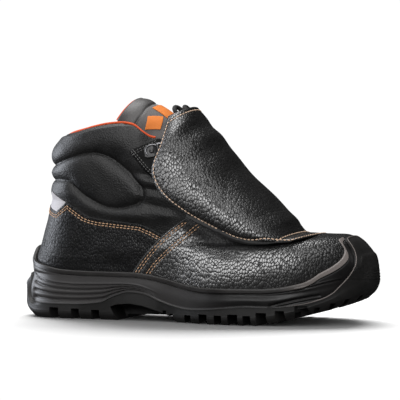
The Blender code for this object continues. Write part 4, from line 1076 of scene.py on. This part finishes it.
cols = np.linspace(-1, 1, 81)
outer_rows, inner_rows = [], []
for level, half, thick in TONGUE_LOW:
    a = front_angle(level, half)
    th = PI + cols * a
    vv = np.full_like(th, level)
    p, nrm = last(th, vv), last_normal(th, vv)
    outer_rows.append(p - nrm * TONGUE_DEPTH)
    inner_rows.append(p - nrm * (TONGUE_DEPTH + thick * (1 - 0.35 * np.abs(cols) ** 3))[:, None])
for rx, rz, ex, ey, ez, thick in TONGUE_HIGH:
    a = cols * PI / 2 * 0.98
    down = np.array([ex - rx, 0.0, ez - rz])
    size = np.linalg.norm(down)
    for rows, inner_by in ((outer_rows, 0.0), (inner_rows, thick)):
        drop = (1 - np.cos(a)) * size
        start = np.array([rx, 0.0, rz]) + down / size * inner_by
        rows.append(start + drop[:, None] * (down / size) * (1 - inner_by / size)
                    + ((ey - inner_by * 0.8) * np.sin(a))[:, None] * np.array([0, 1.0, 0]))


TONGUE_END = 9.66  # row at which the rounded end starts


def along_rows(rows, count):
    data = np.array(rows)
    u = np.linspace(0, TONGUE_END, count)
    return np.stack([np.stack([smooth_rows(data[:, j, k], u) for k in range(3)], -1)
                     for j in range(data.shape[1])], 1)


TO, TI = along_rows(outer_rows, 150), along_rows(inner_rows, 150)
TN = unit(TO - TI)
half_t = np.linalg.norm(TO - TI, axis=-1) / 2
TM = (TO + TI) / 2
SEAM = ((-40.5, 0.0, 179.6), (-41.5, -12.0, 177.5), (-44.0, -20.0, 171.5), (-48.0, -23.6, 164.0), (-50.0, -23.8, 159.0))
seam = through(SEAM, 80)
seam = np.concatenate([seam[::-1] * np.array([1, -1, 1]), seam])
ds = near(TO, seam)
puff = 0.9 * (1 - np.exp(-(ds / 6.0) ** 1.5)) * step(158.0, 166.0, TO[..., 2]) - 1.3 * np.exp(-(ds / 1.1) ** 2)
puff *= (1 - step(0.86, 1.0, np.linspace(0, 1, len(TO))))[:, None]
verts, quads, part = slab(TM, TN, half_t + puff, half_t, seg=6)
mid_x = np.concatenate([TM.reshape(-1, 3), TM.reshape(-1, 3)])
face_x = verts[quads].mean(1)
seam_x = np.interp(-np.abs(face_x[:, 1]), np.sort(-np.abs(seam[:, 1])), seam[np.argsort(-np.abs(seam[:, 1])), 0])
ahead = (face_x[:, 0] > seam_x) & (part == 0)
tongue = piece("tongue_pad", verts, quads, [TONGUE_PAD, TONGUE_PANEL, LINING],
               np.where(part == 2, 2, np.where(ahead, 1, 0)), stands=("tongue",))
end = TM[-1] + TN[-1] * (puff[-1] / 2)[:, None] + unit(TM[-1] - TM[-3]) * (half_t[-1] + puff[-1] / 2 - 0.5)[:, None]
verts, quads = tube(even(end, 160), 1.3, 10)
piece("tongue_binding", verts, quads, BINDING)


def on_tongue(A, u, w):
    """Value of a grid over the tongue at fractional rows and columns."""
    i0, j0 = np.clip(np.floor(u).astype(int), 0, A.shape[0] - 2), np.clip(np.floor(w).astype(int), 0, A.shape[1] - 2)
    f, g = u - i0, w - j0
    if A.ndim == 3:
        f, g = f[..., None], g[..., None]
    return (A[i0, j0] * (1 - f) * (1 - g) + A[i0 + 1, j0] * f * (1 - g)
            + A[i0, j0 + 1] * (1 - f) * g + A[i0 + 1, j0 + 1] * f * g)


def tongue_patch(name, u, w, mat, lift):
    P, N, h = on_tongue(TO, u, w), unit(on_tongue(TN, u, w)), on_tongue(puff, u, w)
    verts, quads, _ = slab(P, N, h + lift, -h + 0.2, seg=4)
    return piece(name, verts, quads, mat)


per_row, per_col = (len(TO) - 1) / TONGUE_END, (TO.shape[1] - 1) / 2
U, W = np.meshgrid(np.linspace(6.6, 7.85, 24), np.linspace(-0.3, 0.3, 30), indexing="ij")
tongue_patch("front_tab", U * per_row, (W + 1) * per_col, TAB, 0.9)
# plain tab on the outer side, upright in side view
TAB_AT, TAB_HALF = np.array([-33.4, 163.6]), np.array([5.6, 5.0])
side = np.where(np.arange(TO.shape[1]) < TO.shape[1] // 2 - 4)[0]
off = ((TO[:, side][..., [0, 2]] - TAB_AT) ** 2).sum(-1)
r0, c0 = np.unravel_index(np.argmin(off), off.shape)
jac = np.stack([(TO[r0 + 3, c0] - TO[r0 - 3, c0])[[0, 2]] / 6, (TO[r0, c0 + 3] - TO[r0, c0 - 3])[[0, 2]] / 6], -1)
A, B = np.meshgrid(np.linspace(-1, 1, 26), np.linspace(-1, 1, 26), indexing="ij")
moves = np.einsum("ij,j...->i...", np.linalg.inv(jac), np.stack([A * TAB_HALF[0], B * TAB_HALF[1]]))
tongue_patch("side_tab", np.clip(r0 + moves[0], 0, len(TO) - 1.01), np.clip(c0 + moves[1], 0, TO.shape[1] - 1.01), TAB, 0.7)


# ================================================================ lace loops and lace
LACE_RINGS = ((8.75, 28.0), (9.4, 30.0), (10.07, 31.8), (10.74, 33.4), (11.4, 35.0))


def spot(level, half, side):
    a = front_angle(level, half)
    th, v = np.array([PI + (a if side > 0 else -a)]), np.array([level])
    p, n = last(th, v)[0], last_normal(th, v)[0]
    ahead = last(th - 0.03 * side, v)[0] - p
    ahead /= np.linalg.norm(ahead)
    return p, n, ahead, np.cross(n, ahead)


def loop_fitting(name, level, half, side):
    """Folded plate with a rivet that carries a wire eye."""
    p, n, ahead, up = spot(level, half, side)
    p = p + n * 2.0
    u = np.linspace(-8.4, 3.4, 18)[:, None]
    w = np.linspace(-1, 1, 14)[None, :]
    half_w = 4.6 * (1 - 0.2 * step(-6.0, -8.6, u)) * (1 - 0.12 * step(1.5, 3.4, u))
    lift = 0.5 + 1.5 * step(-1.5, 3.4, u) + 0 * w
    P = (p + u[..., None] * ahead + (w * half_w)[..., None] * up + lift[..., None] * n)
    N = np.broadcast_to(n, P.shape)
    plate = slab(P, N, 0.7 + 0 * lift, 0.5 + 0 * lift, 4)[:2]
    barrel = tube(np.array([p + ahead * 3.2 + up * k + n * 2.0 for k in np.linspace(-4.3, 4.3, 9)]), 1.5, 10)
    rivet = tube(np.array([p - ahead * 2.4 + n * h for h in (0.9, 1.5, 1.9, 2.15, 2.25)]),
                 np.array([2.1, 2.1, 1.75, 1.0, 0.3]), 14)
    b = np.linspace(-PI * 0.62, PI * 0.62, 30)
    eye = np.array([p + ahead * (4.4 + 4.8 * math.cos(t)) + up * 4.8 * math.sin(t) + n * 2.2 for t in b])
    eye = np.concatenate([[p + ahead * 3.2 - up * 2.6 + n * 2.0], eye, [p + ahead * 3.2 + up * 2.6 + n * 2.0]])
    wire = tube(even(eye, 44), 0.85, 8)
    b = np.linspace(math.radians(35), math.radians(215), 24)
    guard = np.array([p + ahead * (-1.8 + 5.4 * math.cos(t)) + up * (0.2 + 5.0 * math.sin(t)) + n * 2.1 for t in b])
    black, grey = join([plate, barrel, rivet]), join([wire, tube(even(guard, 36), 0.6, 8)])
    verts, quads = join([black, grey])
    index = np.concatenate([np.zeros(len(black[1])), np.ones(len(grey[1]))])
    ob = piece(name, verts, quads, [METAL, WIRE], index)
    return ob, p + ahead * 6.6 + n * 1.6, n, ahead, up


eyes = {}
for i, (level, half) in enumerate(LACE_RINGS):
    for side, tag in ((-1, "outer"), (1, "inner")):
        ob, at, n, ahead, up = loop_fitting("loop_%s_%d" % (tag, i + 1), level, half, side)
        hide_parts("lace_ring_%s_%d" % (tag, i + 1))
        eyes[side, i] = (at, n, ahead, up)


def over_throat(a, b, rise, count=60):
    """Lace from one eye to the other, lying on the tongue between them."""
    f = np.linspace(0, 1, count)[:, None]
    start, end = eyes[a][0] + eyes[a][1] * 1.0, eyes[b][0] + eyes[b][1] * 1.0
    line = start * (1 - f) + end * f
    bow = np.sin(PI * f) ** 0.8
    line = line + RIDGE_OUT * bow * rise
    return line


parts = [tube(over_throat((-1, 0), (1, 0), 6.5), 1.7, 10, 0.62, np.broadcast_to(RIDGE_OUT, (60, 3)))]
for i in range(4):
    parts.append(tube(over_throat((-1, i), (1, i + 1), 6.0), 1.7, 10, 0.62, np.broadcast_to(RIDGE_OUT, (60, 3))))
    parts.append(tube(over_throat((1, i), (-1, i + 1), 8.6), 1.7, 10, 0.62, np.broadcast_to(RIDGE_OUT, (60, 3))))
# turns of the lace in each eye
for (side, i), (at, n, ahead, up) in eyes.items():
    b = np.linspace(0, 2 * PI, 26)
    ring = np.array([at + n * (0.2 + 2.2 * math.sin(t)) + ahead * (0.8 + 2.4 * math.cos(t)) for t in b])
    parts.append(tube(ring, 1.25, 8))
# from the top eyes to the knot
KNOT_AT = np.array([-6.2, 0.0, 161.2])
for side in (-1, 1):
    start = eyes[side, 4][0] + eyes[side, 4][1] * 1.0
    mid = start * 0.45 + KNOT_AT * 0.55 + RIDGE_OUT * 2.5
    line = through([start, mid, KNOT_AT + np.array([0, side * 4.0, 0])], 40)
    parts.append(tube(line, 1.6, 10, 0.7, np.broadcast_to(RIDGE_OUT, (40, 3))))
verts, quads = join(parts)
piece("lace_run", verts, quads, LACE, stands=tuple("lace_%d" % i for i in range(1, 6)))

kn = []
for k in range(3):
    t = np.linspace(0, 2 * PI * 0.98, 40)
    wind = np.stack([0.0 * t, (k - 1) * 3.0 + 0.5 * np.sin(t), 0.0 * t], -1)
    ring = KNOT_AT + wind + (3.1 * np.cos(t)[:, None] * RIDGE_DIR + 2.2 * np.sin(t)[:, None] * RIDGE_OUT)
    kn.append(tube(ring, 1.7, 8))
verts, quads = join(kn)
knot = piece("bow_knot", verts, quads, LACE, stands=("lace_knot",))

LOOP = ((0.5, 9.0, 0.6), (5.0, 12.0, 1.2), (10.0, 16.0, 1.6), (15.0, 17.5, 2.2), (18.5, 14.0, 3.0),
        (18.5, 8.5, 3.4), (14.5, 5.6, 3.6), (10.0, 5.2, 3.4), (6.2, 5.8, 2.8))
for side, tag in ((-1, "outer"), (1, "inner")):
    rows = np.array(LOOP)
    pts = KNOT_AT + rows[:, :1] * RIDGE_DIR + rows[:, 2:] * RIDGE_OUT + side * rows[:, 1:2] * np.array([0, 1.0, 0])
    path = through(pts, 90)
    verts, quads = tube(path, 1.9, 10)
    ob = piece("bow_loop_" + tag, verts, quads, LACE, stands=("lace_loop_" + tag,))

# ================================================================ midsole
NT = 600
T = np.arange(NT) * 2 * PI / NT
FROM_TOE = np.abs(T - PI)
FROM_HEEL = np.minimum(T, 2 * PI - T)
rim = np.where(FROM_HEEL < PI / 2, ease(RIM_AT_HEEL, FROM_HEEL), ease(RIM_AT_TOE, FROM_TOE))
lip = np.where(FROM_TOE < 0.5, 1.5 + 1.9 * np.clip((FROM_TOE - 0.15) / 0.35, 0, 1), 3.4)
lip = np.where(FROM_HEEL < 0.5, 4.0 - 0.6 * FROM_HEEL / 0.5, lip)
LOW = 0.72


def off_last(theta, v, lift):
    return last(theta, v) + last_normal(theta, v) * np.asarray(lift)[..., None]


def parting(x):
    return ease(PARTING, x)


def mid_height(x):
    return parting(x) + 0.45 * (tray(x) + 8.0 - parting(x))


def ring_stack(rings, counts):
    """Rings joined smoothly, with that many steps between each pair."""
    data = np.array(rings)
    u = np.concatenate([k + np.arange(n) / n for k, n in enumerate(counts)] + [[len(rings) - 1.0]])
    return np.stack([np.stack([smooth_rows(data[:, j, k], u) for k in range(3)], -1) for j in range(data.shape[1])], 1), u


def ring_quads(r, c):
    i = np.arange(r * c).reshape(r, c)
    return np.stack([i[:-1], np.roll(i, -1, 1)[:-1], np.roll(i, -1, 1)[1:], i[1:]], -1).reshape(-1, 4)


def ladder(row):
    """Flat cap between the two sides of one ring of vertex numbers."""
    n = len(row)
    return np.array([(row[j], row[j + 1], row[n - 2 - j], row[n - 1 - j]) for j in range(n // 2 - 1)])


def outward(ring):
    along = np.roll(ring, -1, 0) - np.roll(ring, 1, 0)
    n = np.stack([along[:, 1], -along[:, 0], 0 * along[:, 0]], -1)
    return unit(n)


wall_rings = [sole_ring("mid_foot", T, lambda x: parting(x) - 2.5), sole_ring("mid_foot", T, parting),
              sole_ring("mid_wall", T, mid_height)]
for f in (1.0, 0.62, 0.3, 0.0):
    wall_rings.append(off_last(T, rim + (LOW - rim) * f, lip + (4.3 - lip) * f))
PW, UW = ring_stack(wall_rings, (4, 30, 26, 12, 14, 22))

# features drawn on the wall as (x, z) lines
PANEL_TOP = ((-139.0, 35.5), (-137.3, 34.6), (-126.8, 31.6), (-114.3, 29.5), (-94.4, 28.5), (-70.2, 29.1), (-53.7, 29.6),
             (-42.7, 28.9), (-31.9, 26.2), (-20.0, 21.4), (-8.5, 15.9), (2.3, 12.6))
PW_OUT = np.stack([outward(r) for r in PW])
x, z = PW[..., 0], PW[..., 2]
panel_top = ease(PANEL_TOP, x)
part_z = parting(x)
in_heel = step(-141.0, -138.0, x) * (1 - step(-40.0, -18.0, x))
below = step(0.5, -0.5, z - panel_top)
above_lip = step(1.4, 2.4, z - part_z)
share = np.clip((panel_top - z) / np.maximum(panel_top - part_z - 2.0, 2.0), 0, 1)
ridges = np.abs(np.sin(PI * share * 3.6)) ** 0.6
lift_w = in_heel * below * above_lip * (-2.6 + 2.3 * ridges)
lift_w += 1.3 * np.exp(-((z - part_z - 0.9) / 0.95) ** 2) * (1 - step(70.0, 96.0, x))
lift_w += 0.5 * np.exp(-((z - panel_top - 0.8) / 0.8) ** 2) * in_heel
# rounded post at the back end of the panel
lift_w += 1.0 * np.exp(-((x + 142.5) / 2.2) ** 2) * step(10.0, 16.0, z) * (1 - step(36.0, 44.0, z))
# toe creases and wedge groove
for line, depth, half in ((((100.0, 30.6), (109.1, 32.6), (121.4, 36.0), (133.6, 39.0)), -0.6, 0.6),
                          (((100.0, 29.4), (109.1, 31.3), (121.4, 34.7), (133.6, 37.7)), 0.7, 0.8),
                          (((80.0, 16.4), (91.6, 19.6), (103.1, 22.2), (117.0, 24.9)), 1.5, 1.1),
                          (((74.0, 13.6), (88.0, 16.2), (103.1, 19.6), (116.0, 22.2)), 0.8, 0.8)):
    d = near(np.stack([x, z], -1), through(line, 60))
    lift_w -= depth * np.exp(-(d / half) ** 2)
# bead under the leather, with a fine line below it
gaps = np.linalg.norm(np.diff(PW, axis=0), axis=-1)
from_rim = np.concatenate([np.cumsum(gaps[::-1], axis=0)[::-1], np.zeros((1, NT))])
rim_path = off_last(T, rim, lip)
climb = np.roll(rim_path, -1, 0) - np.roll(rim_path, 1, 0)
slope = np.abs(climb[:, 2]) / np.linalg.norm(climb[:, :2], axis=1)
steep = np.clip(np.sqrt(1 + slope ** 2), 1.0, 2.4)
steep = np.convolve(np.concatenate([steep[-4:], steep, steep[:4]]), np.full(9, 1 / 9), "valid")
bead_wide = ((2.5 + 0.7 * step(0.75, 0.35, FROM_TOE)) * steep)[None]
bead = step(bead_wide + 0.4, bead_wide - 0.4, from_rim)
lift_w += 0.85 * bead - 0.6 * np.exp(-((from_rim - bead_wide - 0.7 * steep) / (0.5 * steep)) ** 2)
PW = PW + PW_OUT * lift_w[..., None]
# rolled top and inner side
n_top = last_normal(T, rim)
roll = []
outer_top = PW[-1]
inner_top = off_last(T, rim, 0 * rim + 1.4)
mid = (outer_top + inner_top) / 2
half = (outer_top - inner_top) / 2
grow = unit(last(T, np.clip(rim + 0.05, 0, 14)) - last(T, rim - 0.05))
for f in np.linspace(0, PI, 8)[1:]:
    roll.append(mid + half * math.cos(f) + grow * np.linalg.norm(half, axis=1)[:, None] * math.sin(f) * 0.9)
inner = [off_last(T, rim * k, 0 * rim + 0.9) for k in (0.75, 0.4, 0.1)]
bed = last(T, 0 * T) * np.array([1, 1, 0]) + np.array([0, 0, 1]) * (tray(last(T, 0 * T)[:, 0]) - 0.6)[:, None]
rings = np.concatenate([PW, np.array(roll), np.array(inner), bed[None]])
verts = rings.reshape(-1, 3)
R = len(rings)
quads = np.concatenate([ring_quads(R, NT), ladder(np.arange(NT))[:, ::-1], ladder(np.arange(NT) + (R - 1) * NT)])
# the bead band and the start of the rolled top take the lighter bead rubber: painted highlight along the lip
is_bead = np.concatenate([(from_rim[:-1] < bead_wide), np.ones((R - len(PW), NT), bool)])
is_bead[len(PW) + 4:] = False
index = np.concatenate([is_bead.ravel().astype(int), np.zeros(len(quads) - is_bead.size)])
piece("midsole_wall", verts, quads, [MIDSOLE, BEAD], index, stands=("midsole",))

# ================================================================ outsole
toe_weight = ease(WRAP_TOP_TOE, FROM_TOE, 1)
toe_level = ease(WRAP_TOP_TOE, FROM_TOE, 2)
heel_rise = np.where(FROM_HEEL < PI / 2, ease(WRAP_TOP_HEEL, FROM_HEEL), 1.2)


def wrap_ring(share):
    low_z = lambda x: tread(x) + 6.0
    plain = sole_ring("widest", T, 0.0)
    top = parting(plain[:, 0]) + heel_rise
    plain[:, 2] = low_z(plain[:, 0]) + (top - low_z(plain[:, 0])) * share
    plain -= outward(plain) * (4.2 * step(0.6, 0.3, FROM_HEEL) * step(0.68, 1.0, share))[:, None]
    level = 0.9 + (toe_level - 0.9) * share
    wall = lip + (4.3 - lip) * np.clip((rim - level) / (rim - LOW), 0, 1)
    onto = off_last(T, level, wall + 1.3 - 0.4 * share)
    return plain + (onto - plain) * (toe_weight * min(1.0, 0.3 + 1.75 * share))[:, None]


out_rings = [sole_ring("tread_edge", T, tread), sole_ring("low_wall", T, lambda x: tread(x) + 3.5),
             *(wrap_ring(share) for share in (0.0, 0.2, 0.4, 0.55, 0.7, 0.85, 1.0))]
PO, UO = ring_stack(out_rings, (5, 5, 9, 9, 11, 11, 11, 11))
PO_OUT = np.stack([outward(r) for r in PO])
x, y, z = PO[..., 0], PO[..., 1], PO[..., 2]
theta = np.broadcast_to(T, x.shape)
at_toe = step(0.62, 0.40, np.abs(theta - PI))
rib_z = z - 5.0 * np.clip(np.abs(theta - PI) - 0.1, 0, 1)
in_ribs = step(34.5, 36.0, rib_z) * (1 - step(45.0, 46.5, rib_z))
lift_o = -0.7 * at_toe * in_ribs * (0.5 + 0.5 * np.cos((rib_z - 36.0) * 2 * PI / 2.4)) ** 1.5
lift_o += 0.6 * np.exp(-((UO[:, None] - 7.86) / 0.12) ** 2)
PO = PO + PO_OUT * lift_o[..., None]
edge_in = PO[-1] - PO_OUT[-1] * 2.6
edge_mid = PO[-1] - PO_OUT[-1] * 1.0 + np.array([0, 0, 0.35])
bed_ring = sole_ring("mid_foot", T, lambda x: parting(x) - 3.0)
bed_ring = bed_ring - outward(bed_ring) * 1.5
rings = np.concatenate([PO, edge_mid[None], edge_in[None], bed_ring[None]])
R = len(rings)
quads = np.concatenate([ring_quads(R, NT), ladder(np.arange(NT))[:, ::-1], ladder(np.arange(NT) + (R - 1) * NT)])
outsole = piece("outsole_tread", rings.reshape(-1, 3), quads, [OUTSOLE], stands=("outsole",))

# thin proud line along the wrap's top at the toe in the lighter bead rubber: a real parting edge, with painted
# highlight along it
keep = np.where((T > 2.15) & (T < 2 * PI - 2.15))[0]
verts, quads = tube(even(PO[-1][keep] + PO_OUT[-1][keep] * 0.1, 300), 0.42, 8)
piece("parting_line", verts, quads, BEAD)

# lugs, sipes, scallops and the gap under the waist
LUG_CUTS = (  # x, width, depth, inner end, slant in degrees
    (-116.5, 8.5, 9.2, 13.0, 12.0), (-97.0, 7.2, 8.6, 22.0, 10.0), (-78.5, 7.2, 8.0, 24.0, 6.0),
    (5.5, 6.0, 6.6, 30.0, -8.0), (19.5, 7.5, 8.0, 15.0, -10.0), (33.5, 6.5, 7.6, 30.0, -8.0),
    (47.0, 8.5, 8.8, 16.0, -6.0), (60.5, 6.5, 8.0, 30.0, 0.0), (74.5, 8.5, 9.4, 15.0, 8.0),
    (90.5, 7.0, 8.4, 26.0, 14.0), (-16.0, 3.2, 9.4, 20.0, 0.0), (106.5, 8.5, 8.4, 12.0, 20.0),
    (-9.5, 3.2, 7.0, 20.0, 0.0),
)
SCALLOPS = ((2.36, 5.4, 4.8), (2.50, 5.2, 4.8), (2.63, 5.0, 4.6), (2.77, 5.0, 4.4), (2.95, 5.0, 4.0))  # angle, width, depth
CENTRE_CUTS = ((-105.0, 3.2, 2.4), (-78.0, 3.2, 2.4), (12.0, 3.2, 2.6), (34.0, 3.2, 2.6), (62.0, 3.2, 2.6), (92.0, 3.2, 2.4))


def box_cut(corners, z0, z1):
    pts = [(cx, cy, z0) for cx, cy in corners] + [(cx, cy, z1) for cx, cy in corners]
    return np.array(pts, float), np.array([(0, 1, 2, 3), (7, 6, 5, 4), (0, 4, 5, 1), (1, 5, 6, 2), (2, 6, 7, 3), (3, 7, 4, 0)])


def cutter(name, verts, quads):
    ob = piece(name, verts, quads, OUTSOLE, ride=False)
    bm = bmesh.new()
    bm.from_mesh(ob.data)
    bmesh.ops.recalc_face_normals(bm, faces=bm.faces)
    bm.to_mesh(ob.data)
    bm.free()
    return ob


groups = ([], [])
for k, (cx, width, depth, inner_end, slant) in enumerate(LUG_CUTS):
    for side in (-1, 1):
        a = math.radians(slant) * side
        z0 = float(tread(cx)) - 5.0
        corners = [(cx + dx - math.tan(a) * side * (dy - 40.0), side * dy)
                   for dx, dy in ((-width / 2, inner_end), (width / 2, inner_end), (width / 2, 78.0), (-width / 2, 78.0))]
        groups[k % 2].append(box_cut(corners, z0, z0 + 5.0 + depth))
for k, (a, width, depth) in enumerate(SCALLOPS):
    for angle in (a, 2 * PI - a):
        e = sole_ring("tread_edge", np.array([angle - 0.01, angle, angle + 0.01]), tread)
        run, at = unit(e[2] - e[0])[:2], e[1]
        out = np.array([run[1], -run[0]])
        out *= np.sign(out @ (at[:2] - np.array([60.0, 5.0])))
        corners = [tuple(at[:2] + run * dx + out * dy) for dx, dy in ((-width / 2, -9.0), (width / 2, -9.0), (width / 2, 14.0), (-width / 2, 14.0))]
        groups[k % 2].append(box_cut(corners, at[2] - 6.0, at[2] + depth))
centre = []
for cx, width, depth in CENTRE_CUTS:
    z0 = float(tread(cx)) - 5.0
    centre.append(box_cut([(cx - width / 2, -10.5), (cx + width / 2, -10.5), (cx + width / 2, 10.5), (cx - width / 2, 10.5)], z0, z0 + 5.0 + depth))
cut_obs = [cutter("lug_cut_a", *join(groups[0])), cutter("lug_cut_b", *join(groups[1])), cutter("centre_cut", *join(centre))]
# gap under the waist: a pocket from each side, with a web between them that clears the floor
WEB_HALF, WEB_FOOT = 15.0, 3.6
pts = np.array(ARCH_CUT)
n = len(pts)
for tag, near_y, far_y in (("outer", -75.0, -WEB_HALF), ("inner", WEB_HALF, 75.0)):
    av = np.array([(cx, near_y, cz) for cx, cz in pts] + [(cx, far_y, cz) for cx, cz in pts])
    me = bpy.data.meshes.new("arch_cut_" + tag)
    me.from_pydata([tuple(q) for q in place(av)], [], [tuple(range(n)), tuple(range(2 * n - 1, n - 1, -1))]
                   + [(i, (i + 1) % n, n + (i + 1) % n, n + i) for i in range(n)])
    bm = bmesh.new()
    bm.from_mesh(me)
    bmesh.ops.recalc_face_normals(bm, faces=bm.faces)
    bm.to_mesh(me)
    bm.free()
    arch = bpy.data.objects.new("arch_cut_" + tag, me)
    bpy.context.scene.collection.objects.link(arch)
    cut_obs.append(arch)
cut_obs.append(cutter("web_cut", *box_cut([(-59.5, -20.0), (-6.0, -20.0), (-6.0, 20.0), (-59.5, 20.0)], -6.0, WEB_FOOT)))
bm = bmesh.new()
bm.from_mesh(outsole.data)
bmesh.ops.recalc_face_normals(bm, faces=bm.faces)
bm.to_mesh(outsole.data)
bm.free()
for ob in cut_obs:
    m = outsole.modifiers.new(ob.name, "BOOLEAN")
    m.operation = "DIFFERENCE"
    m.solver = "MANIFOLD"
    m.object = ob
dg = bpy.context.evaluated_depsgraph_get()
cut_mesh = bpy.data.meshes.new_from_object(outsole.evaluated_get(dg))
outsole.modifiers.clear()
outsole.data = cut_mesh
for ob in cut_obs:
    bpy.data.objects.remove(ob, do_unlink=True)
for poly in cut_mesh.polygons:
    poly.use_smooth = True
cut_mesh.set_sharp_from_angle(angle=math.radians(38))

# ================================================================ what is carried over
for node, mat in (("insole", FELT),):
    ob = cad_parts[node]
    ob.data.materials.clear()
    ob.data.materials.append(mat)

# ================================================================ stage, light, camera
scene = bpy.context.scene
scene.view_settings.view_transform = "Standard"
scene.view_settings.look = "None"

me = bpy.data.meshes.new("floor")
me.from_pydata([(-0.6, -0.5, -0.0002), (0.6, -0.5, -0.0002), (0.6, 0.32, -0.0002), (-0.6, 0.32, -0.0002)], [], [(0, 1, 2, 3)])
floor = bpy.data.objects.new("floor", me)
scene.collection.objects.link(floor)
m, t, b = nodes_of("pale_floor")
vec = coords(t)
speck = noise(t, vec, 30.0, 2.0)
t.links.new(mix_colour(t, speck.outputs["Fac"], (0.90, 0.90, 0.90), (0.92, 0.92, 0.92)), b.inputs["Base Color"])
b.inputs["Roughness"].default_value = 0.9
b.inputs["Specular IOR Level"].default_value = 0.1
me.materials.append(m)
floor.visible_glossy = False

world = bpy.data.worlds.new("studio")
scene.world = world
world.use_nodes = True
wt = world.node_tree
bg = wt.nodes["Background"]
bg.inputs["Color"].default_value = (1, 1, 1, 1)
path = wt.nodes.new("ShaderNodeLightPath")
seen = map_range(wt, path.outputs["Is Camera Ray"], 0, 1, 0.0, 0.72, smooth=False)
soft = map_range(wt, path.outputs["Is Glossy Ray"], 0, 1, 0.32, 0.03, smooth=False)
wt.links.new(math_node(wt, "ADD", seen, soft), bg.inputs["Strength"])
world.cycles.sampling_method = "NONE"


def softbox(name, at, to, size, power, colour=(1, 1, 1)):
    data = bpy.data.lights.new(name, "AREA")
    data.shape = "RECTANGLE"
    data.size, data.size_y = size
    data.energy = power
    data.color = colour
    ob = bpy.data.objects.new(name, data)
    ob.location = at
    d = Vector(to) - Vector(at)
    ob.rotation_mode = "QUATERNION"
    ob.rotation_quaternion = d.to_track_quat("-Z", "Y")
    scene.collection.objects.link(ob)
    return ob


def aimed(name, turn, rise, far, size, power, colour=(1, 1, 1)):
    """Softbox in a direction from the boot: degrees from the front towards the toe, degrees up."""
    a, e = math.radians(turn), math.radians(rise)
    at = (far * math.sin(a) * math.cos(e), -far * math.cos(a) * math.cos(e), 0.09 + far * math.sin(e))
    return softbox(name, at, (0, 0, 0.09), size, power, colour)


# broad light from behind for the floor alone, so that the boot's shadow falls forward and soft
ground = softbox("floor_box", (-1.0, 2.5, 3.0), (0, 0, 0), (4.0, 3.0), 320)
FILL = [softbox("top_box", (-0.25, 0.0, 1.3), (0, 0, 0.08), (1.2, 1.0), 24),
        aimed("front_box", 3, 20, 1.9, (0.85, 0.75), 21),
        aimed("high_box", 35, 48, 1.9, (1.5, 0.9), 10),
        aimed("left_box", -94, 9, 1.3, (0.7, 1.0), 21, (0.88, 0.92, 1.0))]
unlit = bpy.data.collections.new("left_out_of_fill")
unlit.objects.link(floor)
for ob in FILL:
    ob.light_linking.receiver_collection = unlit
unlit.collection_objects[0].light_linking.link_state = "EXCLUDE"
on_floor = bpy.data.collections.new("lit_by_floor_box")
on_floor.objects.link(floor)
ground.light_linking.receiver_collection = on_floor
# strips from the left, each flagged off everything but its own leather
for name, rise, high, power, ob in (("flap_strip", 15, 1.6, 31, flap_ob), ("vamp_strip", 11.5, 0.65, 35, vamp_ob)):
    strip = aimed(name, -36, rise, 1.9, (1.75, high), power)
    flagged = bpy.data.collections.new("lit_by_" + name)
    flagged.objects.link(ob)
    strip.light_linking.receiver_collection = flagged

AZ, EL, FAR, PX_MM, CX, CY = math.radians(20.5), math.radians(2.5), 2.5, 1.195, 199.3, 318.3
back = Vector((math.sin(AZ) * math.cos(EL), -math.cos(AZ) * math.cos(EL), math.sin(EL)))
right_dir = Vector((math.cos(AZ), math.sin(AZ), 0))
up_dir = back.cross(right_dir)
target = right_dir * ((200 - CX) / PX_MM * MM) + up_dir * ((CY - 200) / PX_MM * MM)
cam = bpy.data.objects.new("camera", bpy.data.cameras.new("camera"))
scene.collection.objects.link(cam)
view = Matrix((right_dir, up_dir, back)).transposed().to_4x4()
view.translation = target + back * FAR
cam.matrix_world = view
cam.data.sensor_width = 36.0
cam.data.lens = PX_MM * FAR * 1000 * 36 / 400
cam.data.clip_start, cam.data.clip_end = 0.05, 100.0
scene.camera = cam
